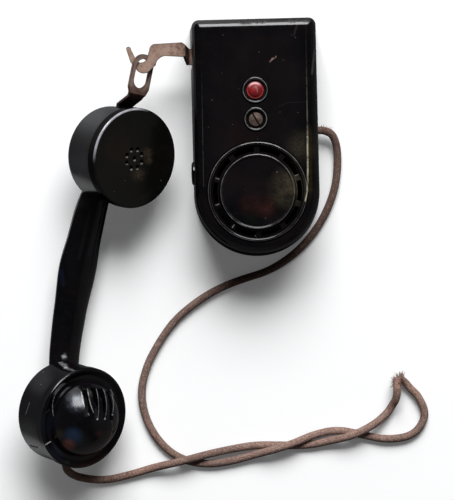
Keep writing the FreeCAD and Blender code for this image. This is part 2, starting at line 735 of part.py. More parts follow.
def buzzer():
    """Electromagnet, sprung armature and interrupter screw on one iron frame."""
    y = ROUND_Y - 3.0
    axis_z = 16.0
    foot = box("buzzer_foot", (-3.0, y, BASE_TOP), 27.0, 14.0, 2.0)
    wall = box("buzzer_upright", (-15.5, y, BASE_TOP), 2.0, 14.0, 22.0)
    hole = rod("buzzer_core_hole", (-17.5, y, axis_z), 2.0, 4.0, RIGHT)
    screw_holes = [rod(f"buzzer_foot_hole_{n}", (-4.0, y + n * 4.6, BASE_TOP - 1), 1.3, 4.0)
                   for n in (1, -1)]
    piece(cut("buzzer_frame", fuse("buzzer_frame_blank", foot, wall), hole, *screw_holes), "buzzer_frame")
    screws = []
    for n in (1, -1):
        spot = (-4.0, y + n * 4.6)
        shank = rod(f"buzzer_screw_shank_{n}", (*spot, BASE_TOP + 0.02), 1.25, 2.0)
        head = rod(f"buzzer_screw_head_{n}", (*spot, BASE_TOP + 2.0), 1.9, 1.0)
        screws.append(fuse(f"buzzer_screw_{n}", shank, head))
    piece(group("buzzer_screws", *screws), "buzzer_screws")
    core = fuse("buzzer_core", rod("core_rivet", (-16.5, y, axis_z), 1.95, 2.1, RIGHT),
                rod("core_bar", (-14.45, y, axis_z), 3.0, 24.4, RIGHT))
    piece(core, "buzzer_core")
    bobbin = fuse("bobbin_blank", rod("bobbin_tube", (-14.3, y, axis_z), 3.8, 22.6, RIGHT),
                  rod("bobbin_flange_a", (-14.3, y, axis_z), 8.6, 1.2, RIGHT),
                  rod("bobbin_flange_b", (7.1, y, axis_z), 8.6, 1.2, RIGHT))
    bore = rod("bobbin_bore", (-15.0, y, axis_z), 3.08, 25.0, RIGHT)
    piece(cut("buzzer_bobbin", bobbin, bore), "buzzer_bobbin")
    wire = rod("winding_outside", (-13.05, y, axis_z), 7.8, 20.1, RIGHT)
    bore = rod("winding_bore", (-14.0, y, axis_z), 3.88, 23.0, RIGHT)
    piece(cut("buzzer_winding", wire, bore), "buzzer_winding")
    reed = box("armature_reed", (11.1, y, BASE_TOP + 2.3), 0.8, 10.0, 20.5)
    pad_iron = box("armature_iron", (11.0, y, axis_z - 5.0), 1.0, 10.0, 10.0)
    piece(fuse("buzzer_armature", reed, pad_iron), "buzzer_armature")
    foot_post = box("interrupter_foot", (20.0, y, BASE_TOP), 8.0, 12.0, 2.0)
    upright_post = box("interrupter_upright", (17.5, y, BASE_TOP), 3.0, 8.0, 23.0)
    blank = fuse("interrupter_blank", foot_post, upright_post)
    bore = rod("interrupter_bore", (15.0, y, 24.0), 1.58, 6.0, RIGHT)
    piece(cut("interrupter_post", blank, bore), "interrupter_post")
    shank = rod("interrupter_shank", (12.6, y, 24.0), 1.5, 8.4, RIGHT)
    point = cone("interrupter_point", (11.8, y, 24.0), 0.5, 1.5, 0.82, RIGHT)
    head = rod("interrupter_head", (21.0, y, 24.0), 3.2, 2.0, RIGHT)
    return piece(fuse("interrupter_screw", shank, point, head), "interrupter_screw")


# Terminals and the cord's anchorage inside the box

def terminals():
    """Terminal strip with a row of binding screws."""
    count = 6
    pitch = 7.0
    x, y = -24.0, 1.0
    base = box("terminal_base", (x, y, BASE_TOP), 12.0, count * pitch, 7.0)
    holes, screws, barriers = [], [], []
    for index in range(count):
        spot = y + (index - (count - 1) / 2) * pitch
        holes.append(rod(f"terminal_hole_{index}", (x, spot, BASE_TOP + 2), 1.43, 8.0))
        shank = rod(f"terminal_shank_{index}", (x, spot, BASE_TOP + 2.2), 1.35, 4.9)
        head = rod(f"terminal_head_{index}", (x, spot, BASE_TOP + 7.02), 2.5, 1.8)
        slot = box(f"terminal_slot_{index}", (x, spot, BASE_TOP + 8.1), 0.7, 6.0, 1.0)
        screws.append(cut(f"terminal_screw_{index}", fuse(f"terminal_blank_{index}", shank, head), slot))
        if index:
            between = (x, spot - pitch / 2, BASE_TOP + 6)
            barriers.append(box(f"terminal_barrier_{index}", between, 12.0, 1.2, 4.0))
    piece(cut("terminal_strip", fuse("terminal_body", base, *barriers), *holes), "terminal_strip")
    return piece(group("terminal_screws", *screws), "terminal_screws")


def cord_anchorage():
    """The cord's end inside the box, under a saddle with two screws."""
    y, z = d.cord_exit_y, d.cord_exit_z
    radius = d.cord_diameter / 2
    piece(rod("box_cord_end", (RIGHT_SIDE, y, z), radius, d.box_width / 2 - 14.0, LEFT), "box_cord_end")
    x = RIGHT_SIDE - 13.0
    arch = rod("saddle_arch", (x - 3.0, y, z), radius + 1.3, 6.0, RIGHT)
    ears = box("saddle_ears", (x, y, BASE_TOP), 6.0, 17.0, 1.3)
    legs = box("saddle_legs", (x, y, BASE_TOP), 6.0, (radius + 1.3) * 2, z - BASE_TOP)
    bore = rod("saddle_bore", (x - 4.0, y, z), radius + 0.05, 8.0, RIGHT)
    under = box("saddle_under", (x, y, BASE_TOP - 4.0), 8.0, (radius + 0.05) * 2, z - BASE_TOP + 4.0)
    holes = [rod(f"saddle_hole_{n}", (x, y + n * 6.2, BASE_TOP - 1), 1.3, 4.0) for n in (1, -1)]
    piece(cut("cord_saddle", fuse("saddle_blank", arch, ears, legs), bore, under, *holes), "cord_saddle")
    screws = []
    for n in (1, -1):
        shank = rod(f"saddle_shank_{n}", (x, y + n * 6.2, BASE_TOP + 0.02), 1.25, 1.4)
        head = rod(f"saddle_head_{n}", (x, y + n * 6.2, BASE_TOP + 1.33), 2.0, 1.2)
        screws.append(fuse(f"saddle_screw_{n}", shank, head))
    return piece(group("saddle_screws", *screws), "saddle_screws")


# The handset, built in its own frame: Y from mouth to ear, Z out of the ear's face, at the ear's centre

def handset_place():
    turn = Rotation(Vector(0, 0, 1), -number(d.handset_turn))
    pitch = Rotation(Vector(1, 0, 0), number(d.handset_pitch))
    roll = Rotation(Vector(0, 1, 0), number(d.handset_roll))
    at = Vector(number(LEFT_SIDE) - number(d.handset_x), number(TOP) - number(d.handset_drop),
                number(d.handset_height))
    return Placement(at, turn * pitch * roll)


SPIGOT_STEP = 1.6
SPIGOT_WALL = 2.2
EAR_SHELL = d.ear_radius - 0.5
MOUTH_SHELL = d.mouth_radius - 0.6
EAR_BORE = EAR_SHELL - SPIGOT_STEP - SPIGOT_WALL
MOUTH_BORE = MOUTH_SHELL - SPIGOT_STEP - SPIGOT_WALL
EAR_UNDERSIDE = -2.9
MOUTH_UNDERSIDE = -3.6
EAR = Placement(Vector(0, 0, 0), Rotation(Vector(1, 0, 0), number(d.ear_tilt)))
MOUTH = Placement(Vector(0, -number(d.cup_spacing), number(d.mouth_raise)),
                  Rotation(Vector(1, 0, 0), -number(d.mouth_tilt)))
GLAND_TURN = 15.0
GLAND_DEPTH = 22.1
GLAND_RADIUS = 3.3
LOOP_SCREWS = (11.5, 18.0)
LOOP_NECK = 5.4
LOOP_SEAT = -22.6
EAR_HOLE = 1.3
EAR_HOLE_CIRCLE = 6.0
EAR_HOLE_TURN = 35.0
SLOT_START = 3.2
SLOT_SHIFT = -1.5


def handset_piece(thing, label, cup=None):
    thing.Placement = handset_place() * (cup or Placement())
    return piece(thing, label)


def cup_outside(name, radius, depth, top, corner, taper):
    """Solid outside of a cup, with a narrower spigot up to top that its cap screws on to."""
    step = -(d.cap_skirt + d.seat_gap)
    back = radius - taper
    centre_r, centre_z = back - corner, -depth + corner
    return turned(name, [
        (0, -depth), (centre_r, -depth), (back, centre_z, centre_r, centre_z, 1),
        (radius, step), (radius - SPIGOT_STEP, step), (radius - SPIGOT_STEP, top), (0, top),
    ])


def cup_cavity(name, radius, depth, shelf):
    """Inside of a cup: wide down to the shelf that carries the capsule, narrower below."""
    return turned(name, [
        (0, -depth), (radius - 3.4, -depth), (radius - 3.4, shelf), (radius, shelf), (radius, 1), (0, 1),
    ])


HANDLE_STATIONS = (
    # distance below the ear's centre, share of full width, share of full thickness, share of full depth
    (8, 0.62, 0.24, 0.76),
    (19, 0.72, 0.60, 0.83),
    (31, 0.79, 0.88, 0.93),
    (50, 0.87, 0.95, 0.98),
    (66, 0.96, 0.99, 1.00),
    (74, 1.00, 1.00, 1.00),
    (83, 0.97, 0.98, 0.995),
    (100, 0.86, 0.94, 0.975),
    (118, 0.81, 0.89, 0.93),
    (132, 0.81, 0.80, 0.86),
    (143, 0.85, 0.56, 0.76),
    (153, 0.88, 0.30, 0.67),
)


def handle_section(distance, width, thickness, depth):
    """Handle outline: ridged at the sides and along the front, full at the back."""
    y = -distance
    half = number(d.handle_width) * width / 2
    deep = number(d.handle_thickness) * thickness / 2
    middle = -number(d.handle_depth) * depth
    front, back = Vector(0, y, middle + deep), Vector(0, y, middle - deep)
    left, right = Vector(-half, y, middle - deep * 0.1), Vector(half, y, middle - deep * 0.1)
    edges = []
    for start, end, out_x, out_z in ((front, right, 1, 1), (right, back, 1, -1), (back, left, -1, -1),
                                     (left, front, -1, 1)):
        bulge = 0.70 if out_z < 0 else 0.64
        corner = Vector(out_x * half * bulge, y, middle + out_z * deep * (0.74 if out_z < 0 else 0.66))
        edges.append(Part.Arc(start, corner, end).toShape())
    return Part.Wire(edges)


def handset_shell():
    """Handle and both cups in one moulding, hollowed for the capsules."""
    ear_shell = cup_outside("ear_outside", EAR_SHELL, d.ear_depth, EAR_UNDERSIDE - 0.2, 5.0, 0.8)
    ear_shell.Placement = EAR
    mouth_top = MOUTH_UNDERSIDE - 0.2
    mouth_shell = cup_outside("mouth_outside", MOUTH_SHELL, d.mouth_depth, mouth_top, 3.5, 0.0)
    mouth_shell.Placement = MOUTH
    handle = doc.addObject("Part::Feature", "handle")
    handle.Shape = Part.makeLoft([handle_section(*station) for station in HANDLE_STATIONS], True, False)
    ear_hollow = cup_cavity("ear_hollow", EAR_BORE, d.ear_depth - d.cup_wall, -14.6)
    ear_hollow.Placement = EAR
    mouth_hollow = cup_cavity("mouth_hollow", MOUTH_BORE, d.mouth_depth - d.cup_wall, -15.0)
    mouth_hollow.Placement = MOUTH
    gland_hole = rod("gland_hole", (0, 0, 0), GLAND_RADIUS + 0.1, 12.0)
    gland_hole.Placement = gland_place() * Placement(Vector(0, 0, -9), Rotation())
    hollowed = cut("handset_hollowed", fuse("handset_blank", ear_shell, mouth_shell, handle),
                   ear_hollow, mouth_hollow, gland_hole)
    floor = -number(d.ear_depth - d.cup_wall)
    seat = primitive("Part::Box", "loop_seat", (0, 0, 0), (0, 0, 1), 0, Length=15, Width=18,
                     Height=LOOP_SEAT - floor + 1)
    seat.Placement = EAR * Placement(Vector(-7.5, 7.5, floor - 1), Rotation())
    screw_holes = [rod(f"loop_screw_hole_{n}", (0, 0, 0), 1.55, 5.0) for n in range(len(LOOP_SCREWS))]
    for hole, y in zip(screw_holes, LOOP_SCREWS):
        hole.Placement = EAR * Placement(Vector(0, y, LOOP_SEAT - 4.5), Rotation())
    start = 20.0
    slit = primitive("Part::Box", "loop_slit", (0, 0, 0), (0, 0, 1), 0, Length=2 * LOOP_NECK + 0.6,
                     Width=EAR_SHELL + 3.6 - start, Height=d.loop_thickness + 0.4)
    slit.Placement = EAR * Placement(Vector(-LOOP_NECK - 0.3, start, LOOP_SEAT), Rotation())
    shell = cut("handset_shell", fuse("handset_seated", hollowed, seat), slit, *screw_holes)
    return handset_piece(shell, "handset_shell")


def gland_place():
    """Where the cord leaves the mouth cup: its Z points out of the cup's lower side."""
    out = Rotation(Vector(1, 0, 0), 90)
    swing = Rotation(Vector(0, 0, 1), GLAND_TURN)
    at = swing.multVec(Vector(0, -(number(d.mouth_radius) - 0.6), -GLAND_DEPTH))
    return MOUTH * Placement(at, swing * out)


def cord_gland():
    """Flanged bush in the mouth cup, and the end of the cord inside it."""
    radius = d.cord_diameter / 2
    bore, flange = radius + 0.05, GLAND_RADIUS + 1.0
    bush = turned("cord_gland", [
        (bore, -8), (GLAND_RADIUS, -8), (GLAND_RADIUS, 0.2), (flange, 0.2), (flange - 0.5, 2.0), (bore, 2.0),
    ])
    bush.Placement = handset_place() * gland_place()
    piece(bush, "cord_gland")
    inner = rod("handset_cord_end", (0, 0, 0), radius, 12.0)
    inner.Placement = handset_place() * gland_place() * Placement(Vector(0, 0, -10.0), Rotation())
    return piece(inner, "handset_cord_end")


def ear_cap():
    """Screwed cap of the receiver: slightly dished face, rounded rim and nine sound holes."""
    radius = d.ear_radius
    inner = EAR_SHELL - SPIGOT_STEP + 0.15
    rim, dish = 1.4, 0.9
    blank = turned("ear_cap_blank", [
        (0, -dish), (radius - 7.0, -0.55), (radius - rim, 0), (radius, -rim, radius - rim, -rim, -1),
        (radius, -d.cap_skirt), (inner, -d.cap_skirt), (inner, EAR_UNDERSIDE), (0, EAR_UNDERSIDE),
    ])
    holes = [rod("ear_hole_centre", (0, 0, -4), EAR_HOLE, 6)]
    for index in range(8):
        angle = math.radians(EAR_HOLE_TURN + 45 * index)
        spot = (EAR_HOLE_CIRCLE * math.cos(angle), EAR_HOLE_CIRCLE * math.sin(angle), -4)
        holes.append(rod(f"ear_hole_{index}", spot, EAR_HOLE, 6))
    return handset_piece(cut("ear_cap", blank, *holes), "ear_cap", EAR)


def mouth_cap():
    """Screwed cap of the transmitter: rounded rim, dished ring and a dome with speech slots high up."""
    radius = d.mouth_radius
    inner = MOUTH_SHELL - SPIGOT_STEP + 0.15
    floor = MOUTH_UNDERSIDE + SIZES["dome_wall"]
    curve = (SIZES["dome_radius"] ** 2 + SIZES["dome_height"] ** 2) / (2 * SIZES["dome_height"])
    centre = floor + SIZES["dome_height"] - curve
    wall = SIZES["dome_wall"]
    inner_edge = math.sqrt((curve - wall) ** 2 - (floor - wall - centre) ** 2)
    rim = 1.6
    blank = turned("mouth_cap_blank", [
        (0, centre + curve), (d.dome_radius, floor, 0, centre, -1), (radius - 4.6, floor + 0.2),
        (radius - rim, 0), (radius, -rim, radius - rim, -rim, -1), (radius, -d.cap_skirt),
        (inner, -d.cap_skirt), (inner, floor - wall), (inner_edge, floor - wall),
        (0, centre + curve - wall, 0, centre, 1),
    ])
    slots = []
    count = int(SIZES["speech_slots"])
    for index in range(count):
        x = (index - (count - 1) / 2) * d.speech_slot_pitch + SLOT_SHIFT
        reach = 0.84 * math.sqrt(SIZES["dome_radius"] ** 2 - number(x) ** 2)
        length = reach - SLOT_START
        at = (x, SLOT_START + length / 2, floor + 1.0)
        slots.append(box(f"speech_slot_{index}", at, d.speech_slot_width, length, 24))
    return handset_piece(cut("mouth_cap", blank, *slots), "mouth_cap", MOUTH)


def capsules():
    """Receiver and transmitter capsules on their shelves, with sprung contacts behind them."""
    rim = EAR_BORE - 0.3
    receiver = turned("receiver_capsule", [
        (0, -14.3), (rim, -14.3), (rim, -6.5), (rim - 2.7, -4.2), (0, -4.2),
    ])
    handset_piece(receiver, "receiver_capsule", EAR)
    rim = MOUTH_BORE - 0.3
    transmitter = turned("transmitter_capsule", [
        (0, -14.7), (rim, -14.7), (rim, -8.0), (rim - 3.2, -5.4), (15.0, -5.4), (13.0, -3.4), (0, -3.4),
    ])
    handset_piece(transmitter, "transmitter_capsule", MOUTH)
    for label, cup, floor, rest, y in (
        ("receiver_contacts", EAR, d.ear_depth - d.cup_wall, 14.3, -4.0),
        ("transmitter_contacts", MOUTH, d.mouth_depth - d.cup_wall, 14.7, 0.0),
    ):
        room = floor - rest
        pair = []
        for side in (1, -1):
            post = rod(f"{label}_post_{side}", (side * 8.0, y, -floor), 2.4, room * 0.45)
            spring = cone(f"{label}_tip_{side}", (side * 8.0, y, -floor + room * 0.45), 2.0, 1.0, room * 0.5)
            pair.append(fuse(f"{label}_{side}", post, spring))
        handset_piece(group(label, *pair), label, cup)


def hanging_loop():
    """Flat steel eye on a cranked strap, screwed to the back of the ear cup."""
    thick = SIZES["loop_thickness"]
    level = -SIZES["loop_depth"]
    foot = LOOP_SEAT + thick / 2 + 0.05
    width = number(d.loop_width)
    top = number(d.loop_top)
    wall = number(EAR_SHELL)
    side = [(top + 2, level), (wall + 8.8, level), (wall + 6.4, level - 1.8), (wall + 1.6, foot + 1.5)]
    side += [tilted(wall + 0.6, foot), tilted(7.0, foot)]
    strip = doc.addObject("Part::Feature", "loop_strip")
    strip.Shape = bent_strip(side, thick, width + 4)
    half = width / 2
    hole_half = half - number(d.loop_stroke)
    hole_top = top - number(d.loop_stroke) * 1.1
    hole_low = hole_top - number(d.loop_hole)
    plan = doc.addObject("Part::Feature", "loop_plan")
    neck, shoulder, waist = LOOP_NECK, hole_low, wall + 7.0
    outline = [
        Part.LineSegment(Vector(half, shoulder, 0), Vector(half, top - half, 0)),
        Part.Arc(Vector(half, top - half, 0), Vector(0, top, 0), Vector(-half, top - half, 0)),
        Part.LineSegment(Vector(-half, top - half, 0), Vector(-half, shoulder, 0)),
        Part.LineSegment(Vector(-half, shoulder, 0), Vector(-neck, waist, 0)),
        Part.LineSegment(Vector(-neck, waist, 0), Vector(-neck, 12, 0)),
        Part.Arc(Vector(-neck, 12, 0), Vector(0, 12 - neck, 0), Vector(neck, 12, 0)),
        Part.LineSegment(Vector(neck, 12, 0), Vector(neck, waist, 0)),
        Part.LineSegment(Vector(neck, waist, 0), Vector(half, shoulder, 0)),
    ]
    plan.Shape = Part.Face(Part.Wire([g.toShape() for g in outline])).extrude(Vector(0, 0, 60))
    plan.Placement = Placement(Vector(0, 0, -45), Rotation())
    hole = doc.addObject("Part::Feature", "loop_eye")
    low, high = hole_low + hole_half, hole_top - hole_half
    eye = [
        Part.LineSegment(Vector(hole_half, low, 0), Vector(hole_half, high, 0)),
        Part.Arc(Vector(hole_half, high, 0), Vector(0, hole_top, 0), Vector(-hole_half, high, 0)),
        Part.LineSegment(Vector(-hole_half, high, 0), Vector(-hole_half, low, 0)),
        Part.Arc(Vector(-hole_half, low, 0), Vector(0, hole_low, 0), Vector(hole_half, low, 0)),
    ]
    hole.Shape = Part.Face(Part.Wire([g.toShape() for g in eye])).extrude(Vector(0, 0, 20))
    hole.Placement = Placement(Vector(0, 0, level - 8), Rotation())
    holes = []
    screws = []
    seat = foot + thick / 2
    for n, y in enumerate(LOOP_SCREWS):
        bore = rod(f"loop_foot_hole_{n}", (0, 0, 0), 1.55, thick + 4)
        bore.Placement = EAR * Placement(Vector(0, y, foot - thick / 2 - 2), Rotation())
        holes.append(bore)
        shank = rod(f"loop_screw_shank_{n}", (0, y, LOOP_SEAT - 4.3), 1.45, seat - LOOP_SEAT + 4.4)
        head = rod(f"loop_screw_head_{n}", (0, y, seat + 0.02), 2.6, 1.5)
        screws.append(fuse(f"loop_screw_{n}", shank, head))
    loop = cut("hanging_loop", common("loop_blank", strip, plan), hole, *holes)
    handset_piece(loop, "hanging_loop")
    return handset_piece(group("loop_screws", *screws), "loop_screws", EAR)


def tilted(y, z):
    """A point of the ear cup's own side view, in the handset's."""
    point = EAR.multVec(Vector(0, y, z))
    return point.y, point.z


def bent_strip(side, thick, width):
    """Strip of the given width whose side view follows the points of side, with sharp mitred bends."""
    offsets = []
    for index, (y, z) in enumerate(side):
        before = side[max(index - 1, 0)]
        after = side[min(index + 1, len(side) - 1)]
        normals = []
        for (ay, az), (by, bz) in ((before, (y, z)), ((y, z), after)):
            length = math.hypot(by - ay, bz - az)
            if length:
                normals.append(((az - bz) / length, (by - ay) / length))
        ny, nz = sum(n[0] for n in normals), sum(n[1] for n in normals)
        scale = thick / 2 * len(normals) / (ny * ny + nz * nz)
        offsets.append((ny * scale, nz * scale))
    outer = [Vector(-width / 2, y + oy, z + oz) for (y, z), (oy, oz) in zip(side, offsets)]
    inner = [Vector(-width / 2, y - oy, z - oz) for (y, z), (oy, oz) in zip(side, offsets)]
    ring = outer + inner[::-1]
    return Part.Face(Part.makePolygon(ring + ring[:1])).extrude(Vector(width, 0, 0))


# The free cord from the box to the handset

CORD_ROUTE = [
    (50.9, -3.3, 4.6), (51.5, -16.3, 2.5), (49.6, -31.7, 2.5), (43.3, -47.6, 2.5),
    (33.9, -61.8, 2.5), (21.6, -74.0, 2.5), (6.4, -83.2, 2.5), (-10.7, -87.8, 2.5),
    (-26.4, -93.6, 2.5), (-41.0, -102.3, 2.5), (-53.9, -112.8, 2.5), (-64.0, -126.5, 2.5),
    (-72.1, -141.3, 2.5), (-76.2, -158.0, 2.5), (-73.2, -174.7, 2.5), (-64.8, -189.7, 2.5),
    (-52.0, -200.3, 2.5), (-34.7, -204.0, 2.5), (-18.3, -201.7, 2.5), (-4.4, -198.0, 3.5),
    (6.6, -195.1, 7.6), (19.7, -191.3, 7.6), (31.3, -186.8, 3.8), (46.9, -183.6, 2.5),
    (63.4, -187.7, 2.5), (79.4, -191.2, 2.5), (95.8, -188.5, 2.5), (103.6, -176.1, 2.6),
    (98.6, -163.9, 3.4), (93.6, -159.2, 2.5), (90.2, -154.8, 2.5), (87.6, -153.1, 4.5),
    (85.4, -153.6, 7.6), (84.5, -156.2, 10.2), (84.8, -160.0, 11.0), (84.1, -165.2, 8.6),
    (82.3, -168.4, 4.8), (78.7, -174.3, 3.2), (69.0, -181.7, 7.6), (54.8, -188.1, 7.6),
    (41.8, -190.6, 3.6), (30.2, -193.1, 2.5), (13.7, -193.1, 2.5), (-3.3, -192.1, 2.5),
    (-18.9, -194.3, 2.5), (-31.4, -196.5, 3.6), (-43.0, -199.0, 7.6), (-57.1, -202.2, 7.6),
    (-69.0, -204.8, 3.6), (-81.3, -208.4, 2.5), (-96.5, -211.8, 2.5), (-105.5, -211.7, 2.6),
    (-111.6, -210.6, 4.1), (-116.8, -209.0, 7.2), (-120.9, -206.4, 11.4),
]
ARC_SHARE = 0.45


def cord_path(points):
    """Straight runs joined by tangent arcs, each as large as its two runs allow; also the arcs' radii."""
    corners = [Vector(*p) for p in points]
    edges, radii = [], []
    start = corners[0]
    for before, corner, after in zip(corners, corners[1:], corners[2:]):
        back, ahead = before - corner, after - corner
        reach = ARC_SHARE * min(back.Length, ahead.Length)
        half_turn = (math.pi - back.getAngle(ahead)) / 2
        radius = reach / math.tan(half_turn)
        radii.append(radius)
        back.normalize()
        ahead.normalize()
        first, last = corner + back * reach, corner + ahead * reach
        inward = (back + ahead).normalize()
        centre = corner + inward * (radius / math.cos(half_turn))
        middle = centre - inward * radius
        edges.append(Part.LineSegment(start, first).toShape())
        edges.append(Part.Arc(first, middle, last).toShape())
        start = last
    edges.append(Part.LineSegment(start, corners[-1]).toShape())
    return Part.Wire(edges), radii


def handset_cord():
    """The braided cord's free stretch, as a plain tube."""
    gland_mouth = (handset_place() * gland_place()).multVec(Vector(0, 0, 2.0))
    gland_out = (handset_place() * gland_place()).Rotation.multVec(Vector(0, 0, 1))
    lead = gland_mouth + gland_out * 3.8
    right, y, z = number(RIGHT_SIDE), number(d.cord_exit_y), number(d.cord_exit_z)
    points = [(right, y, z), (right + 6.8, y, z)] + CORD_ROUTE + [tuple(lead), tuple(gland_mouth)]
    path, radii = cord_path(points)
    first = Vector(*points[1]) - Vector(*points[0])
    section = Part.Wire(Part.Circle(Vector(*points[0]), first, number(d.cord_diameter) / 2).toShape())
    cord = doc.addObject("Part::Feature", "handset_cord")
    cord.Shape = path.makePipeShell([section], True, False)
    whole = math.pi * (number(d.cord_diameter) / 2) ** 2 * path.Length
    print("cord length", round(path.Length, 1), "volume share", round(cord.Shape.Volume / whole, 4))
    print("cord radii", [round(r, 1) for r in radii])
    print("gland mouth", [round(v, 2) for v in gland_mouth], "out", [round(v, 3) for v in gland_out])
    return piece(cord, "handset_cord")


def build():
    base_plate()
    front_cover()
    cover_screw()
    screw_post()
    blanking_plug()
    hook_lever()
    hook_post()
    hook_clip()
    hook_stops()
    hook_contacts()
    call_button()
    button_contacts()
    buzzer()
    terminals()
    cord_anchorage()
    handset_shell()
    cord_gland()
    ear_cap()
    mouth_cap()
    capsules()
    hanging_loop()
    handset_cord()


def check_and_write():
    """Every object must have built, and every piece must be a valid solid, before anything is written."""
    doc.recompute()
    faults = [thing.Name for thing in doc.Objects if {"Invalid", "Error"} & set(thing.State)]
    if faults:
        raise RuntimeError(f"objects that did not build: {faults}")
    for thing in PIECES:
        if thing.Shape.isNull() or not thing.Shape.isValid() or not thing.Shape.Solids:
            raise RuntimeError(f"{thing.Label} is not a valid solid")
    os.makedirs("parts", exist_ok=True)
    for thing in PIECES:
        thing.Shape.exportStep(f"parts/{thing.Label}.step")
    print(len(PIECES), "pieces written")


build()
check_and_write()
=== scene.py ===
import json
import math
import random

import bpy
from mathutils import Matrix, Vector

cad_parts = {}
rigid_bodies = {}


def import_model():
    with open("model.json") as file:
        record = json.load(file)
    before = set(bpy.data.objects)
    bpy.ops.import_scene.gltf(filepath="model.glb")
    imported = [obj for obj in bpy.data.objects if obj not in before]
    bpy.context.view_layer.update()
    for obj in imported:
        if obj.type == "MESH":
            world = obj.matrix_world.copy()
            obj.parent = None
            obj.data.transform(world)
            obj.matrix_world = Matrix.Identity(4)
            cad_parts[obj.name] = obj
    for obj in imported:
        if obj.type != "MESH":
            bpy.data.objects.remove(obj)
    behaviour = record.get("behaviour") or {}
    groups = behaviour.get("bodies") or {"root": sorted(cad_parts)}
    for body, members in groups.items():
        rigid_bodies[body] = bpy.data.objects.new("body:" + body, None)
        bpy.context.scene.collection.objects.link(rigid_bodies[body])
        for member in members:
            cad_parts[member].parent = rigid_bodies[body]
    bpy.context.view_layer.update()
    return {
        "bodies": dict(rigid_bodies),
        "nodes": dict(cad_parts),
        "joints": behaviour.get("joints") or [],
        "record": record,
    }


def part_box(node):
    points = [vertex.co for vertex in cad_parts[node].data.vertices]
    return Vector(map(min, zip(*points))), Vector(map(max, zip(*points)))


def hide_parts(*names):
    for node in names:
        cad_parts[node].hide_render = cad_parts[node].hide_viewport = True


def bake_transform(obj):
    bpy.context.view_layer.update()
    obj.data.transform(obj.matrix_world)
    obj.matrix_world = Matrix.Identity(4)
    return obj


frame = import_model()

nodes = frame["nodes"]
MM = 0.001


# Camera: straight above the table, turned so that the box leans as it does in the photograph

HALF_HEIGHT = 0.1575
EYE = (-0.01957, -0.06924, 1.5)
CAMERA_ROLL = -1.4


def make_camera():
    """Square view of the table; HALF_HEIGHT of the floor shows above and below the middle."""
    data = bpy.data.cameras.new("camera")
    data.sensor_width = 36
    data.lens = data.sensor_width / 2 * EYE[2] / HALF_HEIGHT
    camera = bpy.data.objects.new("camera", data)
    camera.location = EYE
    camera.rotation_euler = (0, 0, math.radians(CAMERA_ROLL))
    bpy.context.collection.objects.link(camera)
    bpy.context.scene.camera = camera


make_camera()


# The handset cord

CORD_RADIUS = 2.4 * MM
CORD_STEP = 0.36 * MM
FOLD = 85.6, -153.4, 7.4
BOX_EXIT = 44.0, 4.0, 8.0
STRAY_ROOT = 47.0, 5.0, 8.0
CORD_ROUTE = [
    (39.5, 4.3, 8.0), (46.3, 4.3, 8.0), (50.9, -3.3, 4.6), (51.5, -16.3, 2.5), (49.6, -31.7, 2.5),
    (43.3, -47.6, 2.5), (33.9, -61.8, 2.5), (21.6, -74.0, 2.5), (6.4, -83.2, 2.5), (-10.7, -87.8, 2.5),
    (-26.4, -93.6, 2.5), (-41.0, -102.3, 2.5), (-53.9, -112.8, 2.5), (-64.0, -126.5, 2.5),
    (-72.1, -141.3, 2.5), (-76.2, -158.0, 2.5), (-73.2, -174.7, 2.5), (-64.8, -189.7, 2.5),
    (-52.0, -200.3, 2.5), (-34.7, -204.0, 2.5), (-18.3, -201.7, 2.5), (-4.4, -198.0, 3.5),
    (6.6, -195.1, 7.6), (19.7, -191.3, 7.6), (31.3, -186.8, 3.8), (46.9, -183.6, 2.5), (63.4, -187.7, 2.5),
    (79.4, -191.2, 2.5), (95.8, -188.5, 2.5), (103.6, -176.1, 2.6), (98.6, -163.9, 3.4),
    (93.6, -159.2, 2.5), (90.2, -154.8, 2.5), (87.6, -153.1, 4.5), (85.4, -153.6, 7.6), (84.5, -156.2, 10.2),
    (84.8, -160.0, 11.0), (84.1, -165.2, 8.6), (82.3, -168.4, 4.8), (78.7, -174.3, 3.2), (69.0, -181.7, 7.6),
    (54.8, -188.1, 7.6), (41.8, -190.6, 3.6), (30.2, -193.1, 2.5),
    (13.7, -193.1, 2.5), (-3.3, -192.1, 2.5), (-18.9, -194.3, 2.5), (-31.4, -196.5, 3.6),
    (-43.0, -199.0, 7.6), (-57.1, -202.2, 7.6), (-69.0, -204.8, 3.6), (-81.3, -208.4, 2.5),
    (-96.5, -211.8, 2.5), (-105.5, -211.7, 2.6),
    (-111.6, -210.6, 4.1), (-116.8, -209.0, 7.2), (-120.9, -206.4, 11.4),
    (-123.30, -202.80, 16.94), (-123.23, -199.07, 17.65),
]


def cord_line():
    """Points along the route's smooth curve, evenly spaced, in metres."""
    curve = bpy.data.curves.new("cord_route", "CURVE")
    curve.dimensions = "3D"
    spline = curve.splines.new("NURBS")
    spline.points.add(len(CORD_ROUTE) - 1)
    for point, place in zip(spline.points, CORD_ROUTE):
        point.co = (*[v * MM for v in place], 1)
    spline.order_u = 3
    spline.use_endpoint_u = True
    spline.resolution_u = 16
    route = bpy.data.objects.new("cord_route", curve)
    bpy.context.collection.objects.link(route)
    bpy.context.view_layer.update()
    line = bpy.data.meshes.new_from_object(route)
    raw = [v.co.copy() for v in line.vertices]
    bpy.data.objects.remove(route)
    return evenly(raw, CORD_STEP)


def evenly(raw, step):
    """The same line with points a step apart."""
    places = [0.0]
    for a, b in zip(raw, raw[1:]):
        places.append(places[-1] + (b - a).length)
    count = int(places[-1] / step)
    out = []
    index = 0
    for k in range(count + 1):
        at = places[-1] * k / count
        while index < len(raw) - 2 and places[index + 1] < at:
            index += 1
        span = places[index + 1] - places[index]
        out.append(raw[index].lerp(raw[index + 1], (at - places[index]) / span if span else 0))
    return out


